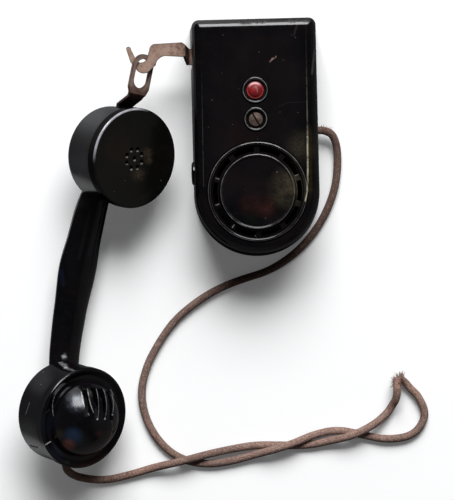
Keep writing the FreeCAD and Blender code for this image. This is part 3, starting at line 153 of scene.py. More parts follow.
def line_frames(line):
    """Direction and two sideways directions at each point, turning as little as possible along the line."""
    frames = []
    side = None
    for i, p in enumerate(line):
        ahead = (line[min(i + 1, len(line) - 1)] - line[max(i - 1, 0)]).normalized()
        if side is None:
            side = ahead.cross(Vector((0, 0, 1))).normalized()
        side = (side - ahead * side.dot(ahead)).normalized()
        frames.append((ahead, side, ahead.cross(side)))
    return frames


BRAID_STRANDS = 8
BRAID_PITCH = 13.0 * MM
AROUND = 32


def braided_cord(line):
    """Tube of woven cotton: two sets of strands wind opposite ways, over and under each other."""
    frames = line_frames(line)
    verts, faces, uvs = [], [], []
    along = 0.0
    for i, (p, (ahead, side, up)) in enumerate(zip(line, frames)):
        if i:
            along += (p - line[i - 1]).length
        wear = 1 + 0.012 * math.sin(along * 90) + 0.010 * math.sin(along * 241 + 1.3)
        for k in range(AROUND):
            turn = k / AROUND
            first = math.sin(2 * math.pi * BRAID_STRANDS * (turn + along / BRAID_PITCH))
            second = math.sin(2 * math.pi * BRAID_STRANDS * (turn - along / BRAID_PITCH))
            radius = CORD_RADIUS * wear * (1.0 + 0.030 * first * second)
            angle = 2 * math.pi * turn
            verts.append(p + (side * math.cos(angle) + up * math.sin(angle)) * radius)
    rings = len(line)
    for i in range(rings - 1):
        for k in range(AROUND):
            a, b = i * AROUND + k, i * AROUND + (k + 1) % AROUND
            faces.append((a, b, b + AROUND, a + AROUND))
    faces.append(tuple(reversed(range(AROUND))))
    faces.append(tuple((rings - 1) * AROUND + k for k in range(AROUND)))
    mesh = bpy.data.meshes.new("handset_cord_braid")
    mesh.from_pydata(verts, [], faces)
    mesh.polygons.foreach_set("use_smooth", [True] * len(mesh.polygons))
    layer = mesh.uv_layers.new(name="braid")
    total = sum((b - a).length for a, b in zip(line, line[1:]))
    for face in mesh.polygons:
        if len(face.loop_indices) != 4:
            continue
        ring, k = divmod(face.index, AROUND)
        corners = ((0, 0), (1, 0), (1, 1), (0, 1))
        for loop, (du, dv) in zip(face.loop_indices, corners):
            layer.data[loop].uv = ((k + du) / AROUND, total * (ring + dv) / (rings - 1) / BRAID_PITCH)
    cord = bpy.data.objects.new("handset_cord_braid", mesh)
    bpy.context.collection.objects.link(cord)
    return cord, total


def fibres(name, tufts, seed):
    """Loose cotton fibres, thin bent tapers: each is (root, way, length, thickness), in metres."""
    dice = random.Random(seed)
    verts, faces = [], []
    joints, corners = 4, 3
    for root, way, length, thick in tufts:
        way = way.normalized()
        curl = Vector([dice.uniform(-1, 1) for _ in range(3)]).cross(way) * dice.uniform(0.2, 0.9)
        across = way.orthogonal().normalized()
        other = way.cross(across)
        first = len(verts)
        for step in range(joints):
            share = step / (joints - 1)
            middle = root + way * length * share + curl * length * share * share * 0.6
            radius = thick * (1 - 0.8 * share)
            middle.z = max(middle.z, radius + 0.05 * MM)
            for corner in range(corners):
                angle = 2 * math.pi * corner / corners
                verts.append(middle + (across * math.cos(angle) + other * math.sin(angle)) * radius)
        for step in range(joints - 1):
            ring = first + step * corners
            for corner in range(corners):
                a, b = ring + corner, ring + (corner + 1) % corners
                faces.append((a, b, b + corners, a + corners))
        tip = first + (joints - 1) * corners
        faces.append((first + 2, first + 1, first))
        faces.append((tip, tip + 1, tip + 2))
    mesh = bpy.data.meshes.new(name)
    mesh.from_pydata(verts, [], faces)
    piece = bpy.data.objects.new(name, mesh)
    bpy.context.collection.objects.link(piece)
    return piece


def cord_fuzz(line):
    """Short fibres that stand off the braid all along the cord."""
    dice = random.Random(11)
    frames = line_frames(line)
    tufts = []
    count, thick, end_gap = 900, 0.035 * MM, 12
    for _ in range(count):
        index = dice.randrange(end_gap, len(line) - end_gap)
        ahead, out = outward(frames[index], dice)
        way = out + ahead * dice.uniform(-1.2, 1.2)
        root = line[index] + out * CORD_RADIUS * 0.97
        length = dice.uniform(0.5, 1.3) * MM
        if (root + way.normalized() * length).z > 0.2 * MM:
            tufts.append((root, way, length, thick))
    return fibres("cord_fuzz", tufts, 12)


def outward(frame, dice):
    """The cord's direction and a random direction square to it."""
    ahead, side, up = frame
    angle = dice.uniform(0, 2 * math.pi)
    return ahead, side * math.cos(angle) + up * math.sin(angle)


def cord_frays(line):
    """Broken strands where the cord is folded sharply and where it leaves the box."""
    dice = random.Random(5)
    frames = line_frames(line)
    tufts = []
    for place, count, reach, length, thick in (
            (FOLD, 170, 4.4, (1.2, 4.4), (0.12, 0.30)), (BOX_EXIT, 46, 3.4, (1.0, 2.8), (0.10, 0.28))):
        near = [i for i, p in enumerate(line) if (p - Vector(place) * MM).length < reach * MM]
        for _ in range(count):
            index = dice.choice(near)
            ahead, out = outward(frames[index], dice)
            way = out + ahead * dice.uniform(-1.4, 1.4) + Vector((-0.15, 0.60, 0.10))
            root = line[index] + out * CORD_RADIUS * 0.9
            if root.z + way.normalized().z * dice.uniform(*length) * MM > 0.5 * MM:
                tufts.append((root, way, dice.uniform(*length) * MM, dice.uniform(*thick) * MM))
    stray = min(line, key=lambda p: (p - Vector(STRAY_ROOT) * MM).length)
    tufts.append((stray + Vector((0, 0, 1.0)) * MM, Vector((0.55, 0.8, 0.1)), 4.2 * MM, 0.2 * MM))
    return fibres("cord_frays", tufts, 6)


# Materials

class Graph:
    """A material's nodes: an input is a number, a colour or another node's output."""

    def __init__(self, name):
        self.material = bpy.data.materials.new(name)
        self.material.use_nodes = True
        self.tree = self.material.node_tree
        self.tree.nodes.clear()
        self.output = self.tree.nodes.new("ShaderNodeOutputMaterial")
        self.place = self.add("TexCoord").outputs["Object"]
        self.above = self.vector("MULTIPLY", self.place, (1, 1, 0))

    def add(self, kind, inputs=None, **settings):
        node = self.tree.nodes.new("ShaderNode" + kind)
        for key, value in settings.items():
            setattr(node, key, value)
        for key, value in (inputs or {}).items():
            socket = node.inputs[key]
            if isinstance(value, bpy.types.NodeSocket):
                self.tree.links.new(value, socket)
            elif hasattr(value, "__len__") and len(value) == 3 and socket.type == "RGBA":
                socket.default_value = (*value, 1)
            else:
                socket.default_value = value
        return node

    def noise(self, scale, detail=3.0, rough=0.5, vector=None, warp=0.0):
        return self.add("TexNoise", {"Vector": vector or self.place, "Scale": scale, "Detail": detail,
                                     "Roughness": rough, "Distortion": warp}).outputs["Fac"]

    def ramp(self, value, low, high, out_low=0.0, out_high=1.0):
        return self.add("MapRange", {"Value": value, "From Min": low, "From Max": high, "To Min": out_low,
                                     "To Max": out_high}, interpolation_type="SMOOTHSTEP").outputs[0]

    def math(self, operation, a, b=0.0):
        return self.add("Math", {0: a, 1: b}, operation=operation).outputs[0]

    def times(self, a, b):
        return self.math("MULTIPLY", a, b)

    def plus(self, a, b):
        return self.math("ADD", a, b)

    def part(self, vector, axis):
        """One of a vector's X, Y and Z."""
        return self.add("SeparateXYZ", {"Vector": vector}).outputs[axis]

    def vector(self, operation, a, b):
        return self.add("VectorMath", {0: a, 1: b}, operation=operation).outputs[0]

    def dot(self, a, b):
        return self.add("VectorMath", {0: a, 1: b}, operation="DOT_PRODUCT").outputs["Value"]

    def distance(self, a, b):
        return self.add("VectorMath", {0: a, 1: b}, operation="DISTANCE").outputs["Value"]

    def flat(self):
        """The way that the face itself looks."""
        return self.add("NewGeometry").outputs["True Normal"]

    def most(self, values):
        """The largest of several masks."""
        total = values[0]
        for value in values[1:]:
            total = self.math("MAXIMUM", total, value)
        return total

    def mix(self, share, a, b):
        return self.add("Mix", {0: share, 6: a, 7: b}, data_type="RGBA").outputs[2]

    def turned(self, angle, scale):
        """Place turned about Z and stretched, for streaks."""
        return self.add("Mapping", {"Vector": self.place, "Rotation": (0, 0, math.radians(angle)),
                                    "Scale": scale}).outputs[0]

    def across(self, way):
        """How far the face looks along a direction: 1 straight along it, 0 square to it."""
        return self.dot(self.flat(), way)

    def bump(self, height, distance, strength=1.0, normal=None):
        inputs = {"Height": height, "Distance": distance, "Strength": strength}
        if normal is not None:
            inputs["Normal"] = normal
        return self.add("Bump", inputs).outputs[0]

    def spot(self, at, radius, inner=0.3):
        """1 near a place seen from above, in mm, fading to 0 at the radius."""
        far = self.distance(self.above, (at[0] * MM, at[1] * MM, 0))
        return self.ramp(far, radius * MM, radius * MM * inner)

    def spots(self, places):
        return self.most([self.spot((x, y), radius) for x, y, radius in places])

    def stroke(self, a, b, width):
        """1 along a thin line between two places seen from above, in mm."""
        start = Vector((*a, 0)) * MM
        along = Vector((*b, 0)) * MM - start
        offset = self.vector("SUBTRACT", self.above, start)
        held = self.add("Clamp", {"Value": self.dot(offset, along / along.length_squared)}).outputs[0]
        foot = self.add("VectorMath", {0: along, "Scale": held}, operation="SCALE").outputs[0]
        return self.ramp(self.distance(offset, foot), width * MM, width * MM * 0.3)

    def path(self, points, width):
        """1 along the straight runs from each place to the next."""
        return self.most([self.stroke(a, b, width) for a, b in zip(points, points[1:])])

    def ring(self, at, radius, width):
        """1 along a circle seen from above, in mm."""
        far = self.distance(self.above, (at[0] * MM, at[1] * MM, 0))
        off = self.math("ABSOLUTE", self.math("SUBTRACT", far, radius * MM))
        return self.ramp(off, width * MM / 2, width * MM * 0.15)

    def bow(self, a, b, c, width):
        """1 on the circle through three places seen from above, in mm, at the heights from a to c."""
        (ax, ay), (bx, by), (cx, cy) = a, b, c
        twice = 2 * (ax * (by - cy) + bx * (cy - ay) + cx * (ay - by))
        squares = ax * ax + ay * ay, bx * bx + by * by, cx * cx + cy * cy
        x = (squares[0] * (by - cy) + squares[1] * (cy - ay) + squares[2] * (ay - by)) / twice
        y = (squares[0] * (cx - bx) + squares[1] * (ax - cx) + squares[2] * (bx - ax)) / twice
        circle = self.ring((x, y), math.hypot(ax - x, ay - y), width)
        height = self.part(self.place, "Y")
        low, high = sorted((ay, cy))
        inside = self.times(self.ramp(height, (low - 0.4) * MM, (low + 0.8) * MM),
                            self.ramp(height, (high + 0.4) * MM, (high - 0.8) * MM))
        return self.times(circle, inside)

    def edges(self, reach):
        """1 close to sharp edges, fading to 0 on open faces."""
        rounded = self.add("Bevel", {"Radius": reach * MM}, samples=6).outputs[0]
        return self.ramp(self.dot(self.flat(), rounded), 0.995, 0.86)

    def finish(self, painted_shade_and_crack=None, **inputs):
        """Plain shader, with matte near-black over it where the mask is 1: painted shade in grooves and on
        sides, and the dark gap of a crack.
        """
        sockets = {key.replace("_", " "): value for key, value in inputs.items()}
        shader = self.add("BsdfPrincipled", sockets).outputs[0]
        if painted_shade_and_crack is not None:
            # Matte near-black: painted shade in grooves and on sides, and the crack's dark gap.
            dirt = self.add("BsdfDiffuse", {"Color": (0.0015, 0.0015, 0.0018)}).outputs[0]
            shader = self.add("MixShader", {0: painted_shade_and_crack, 1: shader, 2: dirt}).outputs[0]
        self.tree.links.new(shader, self.output.inputs[0])
        return self.material


def specks(g, scale, size):
    """Sparse round grains of dust."""
    cells = g.add("TexVoronoi", {"Vector": g.place, "Scale": scale, "Randomness": 1.0}, feature="F1")
    grain = g.ramp(cells.outputs["Distance"], size, size * 0.5)
    few = g.ramp(g.noise(scale * 0.35, 1.0), 0.56, 0.62)
    return g.times(grain, few)


def hairlines(g, angle, fine=1500, thin=0.012):
    """Faint polishing lines in one direction, here and there."""
    streak = g.noise(1.0, 1.0, 0.5, g.turned(angle, (fine * 0.015, fine, fine)))
    line = g.ramp(g.math("ABSOLUTE", g.math("SUBTRACT", streak, 0.5)), thin, 0.0)
    return g.times(line, g.ramp(g.noise(90, 3.0), 0.50, 0.62))


def bakelite(name, black=(0.0016, 0.0016, 0.0023), brown=(0.0070, 0.0036, 0.0034), share=0.6,
             rough=(0.08, 0.18), dust=1.0, ripple=0.25, marks=None):
    """Old polished moulding: near black with brown clouds, fine polishing lines, smudges and dust."""
    g = Graph(name)
    cloud = g.times(g.ramp(g.noise(42, 4.0, 0.6, warp=0.5), 0.42, 0.68), share)
    colour = g.mix(cloud, black, brown)
    grain = g.ramp(g.noise(420, 4.0, 0.7), 0.52, 0.75, 0.0, 0.4)
    colour = g.mix(grain, colour, (0.0105, 0.0085, 0.0080))
    lines = g.math("MAXIMUM", hairlines(g, 24), hairlines(g, -57, 1800))
    grains = g.times(specks(g, 300, 0.05), dust)
    film = g.ramp(g.noise(17, 5.0, 0.6), 0.50, 0.80, 0.0, 0.14 * dust)
    colour = g.mix(film, colour, (0.020, 0.018, 0.016))
    colour = g.mix(g.times(lines, 0.03), colour, (0.16, 0.14, 0.13))
    colour = g.mix(g.times(grains, 0.7), colour, (0.20, 0.17, 0.15))
    roughness = g.ramp(g.noise(60, 5.0, 0.62), 0.35, 0.75, *rough)
    roughness = g.plus(roughness, g.times(grains, 0.5))
    height = g.times(lines, 0.5)
    painted_shade_and_crack = None
    if marks:
        colour, roughness, height, painted_shade_and_crack = marks(g, colour, roughness, height)
    wave = g.bump(g.noise(26, 2.0, 0.4), 0.00012, 0.35)
    wave = g.bump(g.noise(190, 4.0, 0.65), 0.00002, ripple, wave)
    normal = g.bump(height, 0.00002, 0.4, wave)
    return g.finish(painted_shade_and_crack, Base_Color=colour, Roughness=roughness, Normal=normal, IOR=1.58)


GRILLE = 0.0, -34.0
BAR_TURNS = 21.8, -13.7, -48.1, -84.0, -126.5, -163.4, 160.8
COVER_STAINS = (((19.5, -32.5), 16.0, (0.078, 0.066, 0.040), 0.8),
                ((3.5, -42.6), 10.0, (0.046, 0.0150, 0.0120), 0.8),
                ((-6.0, -41.8), 10.0, (0.026, 0.0090, 0.0085), 0.7),
                ((-4.0, -50.0), 7.0, (0.0040, 0.0055, 0.0035), 0.9),
                ((28.0, -7.0), 14.0, (0.046, 0.038, 0.025), 0.7),
                ((-8.0, 2.0), 16.0, (0.0110, 0.0050, 0.0045), 0.6))
COVER_SPECKS = ((-18.8, 62.1, 0.45), (23.0, 61.1, 0.35), (24.4, 60.4, 0.3), (25.4, 59.5, 0.5),
                (2.9, 51.2, 0.5), (17.5, 45.9, 0.4), (-20.0, 38.9, 0.3), (-26.5, 22.6, 0.55),
                (-9.8, 28.9, 0.3), (14.8, 14.2, 0.4), (25.8, 13.6, 0.4), (-14.3, 7.3, 0.4),
                (-29.0, 6.1, 0.35), (0.7, -1.9, 0.35), (2.5, -3.2, 0.5), (4.4, -50.3, 0.5),
                (12.1, -22.4, 0.8))


def cover_marks(g, colour, roughness, height):
    """The cover's stains, specks and scratches, painted highlights and reflections on its beads and edges
    with painted shade in the grooves, and the chip in its upper right.
    """
    colour = cover_stains(g, colour)
    colour = g.mix(g.times(g.spots(COVER_SPECKS), 0.42), colour, (0.15, 0.14, 0.13))
    line = g.most([g.times(g.stroke((9.5, 44.3), (7.5, 37.6), 0.25), 0.4),
                   g.stroke((13.7, 17.3), (19.9, 19.9), 0.22), g.stroke((19.9, 19.9), (30.9, 19.9), 0.2),
                   g.stroke((26.6, 68.0), (24.8, 61.6), 1.0)])
    colour = g.mix(g.times(line, 0.09), colour, (0.14, 0.12, 0.10))
    # Patchy break-up for the painted highlights and reflections on beads, bars and edges.
    patchiness = g.ramp(g.noise(240, 4.0, 0.65), 0.30, 0.62, 0.25, 1.0)
    colour, painted_shade_and_crack = ring_highlights_and_shade(g, colour, patchiness)
    colour = edge_reflections(g, colour, patchiness)
    smear = g.most([g.stroke((-8.0, 70.3), (6.0, 70.5), 3.0), g.stroke((22.0, 70.6), (33.0, 70.6), 3.0)])
    smear = g.times(smear, g.ramp(g.noise(1.0, 4.0, 0.6, g.turned(0, (500, 120, 120))), 0.40, 0.60))
    roughness = g.plus(roughness, g.times(smear, 0.60))
    chip = g.most([g.stroke((13.0, 48.0), (10.8, 46.7), 0.85), g.stroke((11.2, 46.8), (9.4, 45.2), 0.7)])
    chip = g.times(chip, g.ramp(g.noise(700, 3.0), 0.30, 0.50))
    colour = g.mix(chip, colour, (0.175, 0.105, 0.092))
    roughness = g.plus(roughness, g.times(chip, 0.4))
    return colour, roughness, g.math("SUBTRACT", height, g.times(chip, 6.0)), painted_shade_and_crack


def cover_stains(g, colour):
    """A brown cast over the flat face, and yellow, red and green stains on and round the grille's disc."""
    face = g.most([g.stroke((x, 52.0), (x, -28.0), 17.0) for x in (-18.0, 0.0, 17.0)])
    warm = g.times(face, g.ramp(g.noise(36, 5.0, 0.6), 0.30, 0.62, 0.35, 1.0))
    colour = g.mix(g.times(warm, 0.75), colour, (0.0072, 0.0052, 0.0062))
    soft = g.ramp(g.noise(95, 4.0, 0.6), 0.15, 0.65)
    fine = g.ramp(g.noise(520, 4.0, 0.7), 0.30, 0.65, 0.45, 1.0)
    for at, radius, tint, most in COVER_STAINS:
        colour = g.mix(g.times(g.times(g.spot(at, radius, 0.1), g.times(soft, fine)), most), colour, tint)
    return colour


def ring_highlights_and_shade(g, colour, patchiness):
    """Painted highlights on the beads, collars and grille bars, the greenish well round the button, and
    painted shade as matte black in the grooves beside them.
    """
    # Light thin rings on the beads and collars, brighter in the lit patches: painted highlights.
    lit = g.spots([(14.0, -10.0, 26.0), (-16.0, -58.0, 28.0), (-20.0, -18.0, 18.0)])
    bright = g.times(patchiness, g.math("MAXIMUM", lit, 0.45))
    beads = g.most([g.ring(GRILLE, 30.1, 0.5), g.ring(GRILLE, 22.5, 0.55),
                    g.times(g.ring(GRILLE, 28.9, 0.4), 0.4), g.times(g.ring(GRILLE, 21.5, 0.35), 0.3)])
    colour = g.mix(g.times(beads, bright), colour, (0.200, 0.195, 0.185))
    button, screw = middle("call_button"), middle("cover_screw")
    collars = g.math("MAXIMUM", g.ring(button, 7.35, 0.6), g.ring(screw, 6.6, 0.6))
    colour = g.mix(g.times(collars, g.ramp(patchiness, 0.25, 1.0, 0.4, 1.0)), colour, (0.175, 0.180, 0.175))
    colour = g.mix(g.times(g.ring(button, 6.1, 0.8), 0.8), colour, (0.020, 0.024, 0.016))
    # Matte black in the grooves beside the beads and collars: painted shade.
    painted_shade_and_crack = g.most([g.ring(GRILLE, radius, 0.7) for radius in (31.0, 27.9, 23.5)])
    painted_shade_and_crack = g.most([painted_shade_and_crack, g.ring(button, 8.2, 0.6), g.ring(screw, 7.4, 0.6)])
    # Short light bars at the ends of the grille's slots: painted highlights.
    bars = []
    for turn in BAR_TURNS:
        way = Vector((math.cos(math.radians(turn)), math.sin(math.radians(turn))))
        bars.append(g.stroke(Vector(GRILLE) + 24.8 * way, Vector(GRILLE) + 26.8 * way, 0.38))
    colour = g.mix(g.times(g.times(g.most(bars), patchiness), 0.9), colour, (0.26, 0.25, 0.22))
    return colour, painted_shade_and_crack


def edge_reflections(g, colour, patchiness):
    """A painted yellowish reflection down the cover's right edge, a dim yellow-brown painted reflection
    beside it, and thin painted highlights down the left edge and high on the right.
    """
    # Bright line down the right edge: painted reflection.
    edge = g.math("MAXIMUM", g.path(((31.3, -1.0), (31.0, -21.6), (30.4, -34.0)), 0.75),
                  g.stroke((30.4, -34.0), (28.9, -40.5), 0.55))
    north = g.part(g.place, "Y")
    rising = g.ramp(north, 0.016, -0.012)
    faint = g.ramp(north, 0.060, -0.010, 0.02, 0.30)
    edge = g.math("MAXIMUM", edge, g.times(g.stroke((31.9, 66.0), (31.3, -1.0), 0.55), faint))
    edge = g.math("MAXIMUM", edge, g.times(g.times(g.stroke((31.5, 14.0), (31.3, -1.0), 0.7), rising), 0.9))
    colour = g.mix(g.times(edge, patchiness), colour, (0.40, 0.38, 0.29))
    # Dim yellow-brown band beside it: painted reflection.
    dim_reflection = g.times(g.stroke((32.7, 6.0), (32.4, -34.0), 1.7), rising)
    colour = g.mix(g.times(g.times(dim_reflection, patchiness), 0.9), colour, (0.020, 0.014, 0.003))
    # Thin light lines down the left edge and high on the right: painted highlights.
    left = g.times(g.stroke((-32.2, 66.0), (-32.9, -30.0), 0.35), g.ramp(north, 0.055, 0.000, 0.0, 0.9))
    thin = g.math("MAXIMUM", left, g.stroke((37.0, 52.0), (35.0, 37.0), 0.9))
    return g.mix(g.times(g.times(thin, patchiness), 0.6), colour, (0.055, 0.058, 0.055))


# Places of the painted highlights on the sound holes' lower edges.
SOUND_HOLE_GLINTS = ((-76.6, -7.4), (-72.9, -7.2), (-79.3, -10.9), (-70.6, -10.0), (-74.8, -12.9),
                   (-79.5, -15.2), (-70.7, -14.8), (-76.9, -18.5), (-73.4, -18.1))
EAR_FACE = -74.2, -11.9, 43.3
HANDSET_FACING = 0.609, -0.158, 0.777
EAR_UPHILL = -0.424, 0.763, 0.488


def receiver_marks(g, colour, roughness, height):
    """Yellow-brown patches beside the sound holes, painted highlights on the lower edges of the holes, a
    painted highlight on the upper rim, painted shade over the cap's side, and specks.
    """
    warm = g.times(g.spot((-82.0, -7.0), 17.0, 0.1), g.ramp(g.noise(60, 4.0, 0.6), 0.3, 0.6))
    colour = g.mix(g.times(warm, 0.7), colour, (0.0115, 0.0060, 0.0048))
    wear = g.most([g.spot((-67.0, -8.5), 4.8, 0.05), g.spot((-66.5, -13.0), 3.6, 0.1),
                   g.spot((-73.0, -21.8), 5.8, 0.1)])
    wear = g.times(wear, g.ramp(g.noise(380, 5.0, 0.7), 0.25, 0.70))
    colour = g.mix(wear, colour, (0.042, 0.029, 0.018))
    pale = g.spots([(-95.6, -3.2, 0.45), (-95.4, -6.0, 0.3), (-59.3, -25.3, 0.5), (-87.5, -32.0, 0.35),
                    (-80.8, -25.4, 0.35)])
    colour = g.mix(g.times(pale, 0.5), colour, (0.16, 0.15, 0.13))
    # Light crescents on the lower edges of the sound holes: painted highlights.
    hole_glints = g.spots([(x, y, 0.95) for x, y in SOUND_HOLE_GLINTS])
    colour = g.mix(g.times(hole_glints, 0.9), colour, (0.36, 0.35, 0.31))
    # A light band along the upper rim: painted highlight.
    off = g.vector("SUBTRACT", g.place, Vector(EAR_FACE) * MM)
    away = g.vector("CROSS_PRODUCT", off, HANDSET_FACING)
    far = g.add("VectorMath", {0: away}, operation="LENGTH").outputs["Value"]
    rim = g.times(g.ramp(far, 0.0293, 0.0299), g.ramp(g.dot(off, HANDSET_FACING), -0.0016, -0.0010))
    rim = g.times(rim, g.ramp(g.dot(off, EAR_UPHILL), 0.016, 0.026))
    colour = g.mix(g.times(rim, g.ramp(g.noise(200, 4.0), 0.3, 0.6, 0.6, 1.0)), colour, (0.42, 0.42, 0.45))
    # The cap's side gets matte black: painted shade.
    side = g.ramp(g.across(HANDSET_FACING), 0.55, 0.30)
    return colour, g.plus(roughness, g.times(wear, 0.2)), height, g.times(side, 0.75)


CRACK_LIP = (-138.4, -187.6), (-129.7, -183.1)
CRACK = (-143.5, -186.6), (-138.3, -187.3)
# Painted highlights along the speech slots' edges (three points on an arc, width, strength) and at their
# feet (place, radius).
SLOT_EDGE_HIGHLIGHTS = (((-110.1, -152.5), (-109.1, -158.9), (-105.3, -167.5), 0.75, 1.0),
              ((-106.4, -151.4), (-104.6, -160.3), (-102.7, -165.8), 0.65, 0.8),
              ((-101.3, -151.8), (-99.8, -160.4), (-100.5, -169.5), 0.45, 0.65),
              ((-97.3, -152.2), (-95.2, -160.5), (-96.2, -169.6), 0.45, 0.5),
              ((-93.8, -153.2), (-91.4, -160.0), (-91.9, -167.5), 0.55, 0.55))
SLOT_FOOT_HIGHLIGHTS = (-100.6, -169.8, 0.8), (-96.3, -169.9, 0.8), (-91.9, -168.0, 0.7), (-109.5, -155.5, 0.9)
# Blue, red and brown tints on the dome and its ring: place, radius, colour and strength.
DOME_TINTS = (((-115.4, -180.2), 8.0, (0.0110, 0.0250, 0.0560), 0.95),
                ((-118.6, -185.6), 5.6, (0.190, 0.0520, 0.0330), 0.95),
                ((-99.6, -179.4), 3.4, (0.030, 0.0070, 0.0100), 0.8),
                ((-124.3, -178.5), 4.4, (0.024, 0.0190, 0.0110), 0.8),
                ((-105.5, -195.5), 13.0, (0.052, 0.0180, 0.0130), 0.95),
                ((-130.5, -172.0), 10.0, (0.0060, 0.0068, 0.0110), 0.9),
                ((-126.0, -190.0), 8.0, (0.0070, 0.0080, 0.0140), 0.9))


def crack_marks(g, colour, width):
    """The crack across the mouth cap's rim and on to the cup: its pale lip, its dark gap and their mask."""
    lip = g.stroke(*CRACK_LIP, 0.5)
    colour = g.mix(g.times(lip, 0.9), colour, (0.45, 0.43, 0.41))
    gap = g.stroke(*CRACK, width)
    return g.mix(gap, colour, (0.001, 0.001, 0.001)), lip, gap


def transmitter_marks(g, colour, roughness, height):
    """Painted highlights along the speech slots' edges and at their feet, a painted bluish highlight over
    the window's reflection, the cracked rim, and blue, red and brown tints on the dome.
    """
    for at, radius, tint, most in DOME_TINTS:
        colour = g.mix(g.times(g.spot(at, radius, 0.2), most), colour, tint)
    # A broken bluish patch over the window's reflection on the dome: painted highlight; it also roughens the
    # dome there.
    blue_highlight = g.times(g.spot((-113.5, -159.0), 7.5, 0.2), g.ramp(g.noise(330, 5.0, 0.7), 0.40, 0.66))
    colour = g.mix(g.times(blue_highlight, 0.6), colour, (0.13, 0.17, 0.25))
    hazy = g.times(g.spot((-113.0, -159.5), 10.0, 0.55), 0.13)
    roughness = g.plus(roughness, g.math("MAXIMUM", g.times(blue_highlight, 0.28), hazy))
    # Light lines along the speech slots and dots at their feet: painted highlights.
    edges = g.most([g.times(g.bow(a, b, c, width), level) for a, b, c, width, level in SLOT_EDGE_HIGHLIGHTS])
    edges = g.times(edges, g.ramp(g.noise(420, 3.0, 0.6), 0.30, 0.60, 0.25, 1.0))
    feet = g.spots(SLOT_FOOT_HIGHLIGHTS)
    colour = g.mix(g.times(g.math("MAXIMUM", edges, g.times(feet, 0.8)), 0.9), colour, (0.42, 0.44, 0.47))
    colour, lip, gap = crack_marks(g, colour, 0.45)
    both = g.math("MAXIMUM", gap, lip)
    height = g.math("SUBTRACT", height, g.times(both, 5.0))
    return colour, g.plus(roughness, g.times(both, 0.3)), height, gap


# Grey patches on the cups' sides, painted reflections of the floor: place, radius and colour.
SIDE_REFLECTIONS = (((-112.0, -22.0), 22.0, (0.042, 0.042, 0.049)),
                ((-101.0, 16.0), 16.0, (0.050, 0.051, 0.052)),
                ((-146.0, -188.0), 22.0, (0.078, 0.078, 0.079)),
                ((-136.0, -146.0), 12.0, (0.024, 0.023, 0.025)))


def handset_marks(g, colour, roughness, height):
    """Lumpy moulding where the handle meets the transmitter, with a painted highlight on the lumps, painted
    grey reflections on the cups' sides, painted blue highlights and reflection streaks on the handle,
    scratches and the crack.
    """
    cloudy = g.ramp(g.noise(45, 4.0, 0.6), 0.25, 0.75, 0.6, 1.0)
    # Grey on the cups' sides: painted reflections.
    for at, radius, tint in SIDE_REFLECTIONS:
        colour = g.mix(g.times(g.spot(at, radius, 0.2), cloudy), colour, tint)
    foot = g.math("MAXIMUM", g.spot((-122.0, -132.8), 2.8, 0.1), g.spot((-120.3, -138.7), 2.0, 0.1))
    lumps = g.times(foot, g.ramp(g.noise(340, 2.0, 0.5), 0.38, 0.66))
    # The lumps get a light colour as well as their bumps: painted highlight.
    colour = g.mix(g.times(lumps, 0.9), colour, (0.33, 0.34, 0.36))
    height = g.plus(height, g.times(lumps, 8.0))
    # Bluish lines on the handle: painted highlights.
    shine = g.math("MAXIMUM", g.stroke((-128.6, -70.5), (-126.9, -79.5), 1.9),
                   g.stroke((-129.4, -86.0), (-130.2, -104.0), 1.0))
    colour = g.mix(g.times(shine, 0.6), colour, (0.030, 0.048, 0.090))
    # Faint light streaks down the handle: painted reflections.
    streaks = g.math("MAXIMUM", g.stroke((-104.0, -44.0), (-111.5, -72.0), 1.6),
                     g.stroke((-99.0, -46.0), (-105.5, -70.0), 1.2))
    colour = g.mix(g.times(g.times(streaks, cloudy), 0.35), colour, (0.012, 0.012, 0.014))
    # A faint blue stroke on the handle: painted highlight.
    gleam = g.times(g.stroke((-122.8, -79.5), (-122.0, -88.0), 2.2), cloudy)
    colour = g.mix(g.times(gleam, 0.7), colour, (0.0065, 0.0100, 0.0240))
    colour, _, gap = crack_marks(g, colour, 0.55)
    line = g.most([g.stroke((-142.3, -159.5), (-145.0, -166.6), 0.3), g.spot((-134.4, -141.4), 0.45),
                   g.spot((-135.2, -148.5), 0.45), g.spot((-149.3, -164.9), 0.4)])
    colour = g.mix(g.times(line, 0.45), colour, (0.22, 0.21, 0.20))
    return colour, roughness, height, gap


def worn_steel(name, clean=(0.40, 0.270, 0.210), dull=(0.215, 0.125, 0.090),
               rust=(0.085, 0.036, 0.022), fade=None):
    """Once plated strip, dulled to a dusty pink-brown with rust freckles and streaks, with painted shade on
    its side faces, along its edges and at the hook's root by the box.
    """
    g = Graph(name)
    mottle = g.ramp(g.noise(210, 6.0, 0.7), 0.36, 0.62)
    colour = g.mix(g.times(mottle, 0.55), clean, dull)
    colour = g.mix(g.ramp(g.noise(1500, 3.0, 0.7), 0.45, 0.70, 0.0, 0.30), colour, (0.50, 0.36, 0.29))
    freckles = g.ramp(g.noise(430, 6.0, 0.75), 0.55, 0.66)
    colour = g.mix(g.times(freckles, 0.8), colour, rust)
    # Darker rust-brown where the hook leaves the box: painted shade.
    root = g.times(g.spot((-43.0, 57.0), 9.0, 0.2), g.ramp(mottle, 0.0, 1.0, 0.35, 0.9))
    colour = g.mix(root, colour, rust)
    # Steep faces darker than level ones: painted shade.
    sides = g.ramp(g.math("ABSOLUTE", g.part(g.flat(), "Z")), 0.80, 0.35)
    colour = g.mix(g.times(sides, 0.75), colour, (0.060, 0.030, 0.021))
    # Darker along sharp edges: painted shade.
    rims = g.times(g.edges(1.2), g.ramp(mottle, 0.0, 1.0, 0.75, 1.0))
    colour = g.mix(rims, colour, (0.070, 0.038, 0.028))
    if fade:
        colour = fade(g, colour)
    normal = g.bump(g.noise(2600, 3.0, 0.6), 0.00006, 0.6, g.bump(mottle, 0.00010, 0.6))
    roughness = g.ramp(mottle, 0.0, 1.0, 0.50, 0.78)
    return g.finish(Base_Color=colour, Roughness=roughness, Metallic=0.25, Normal=normal)


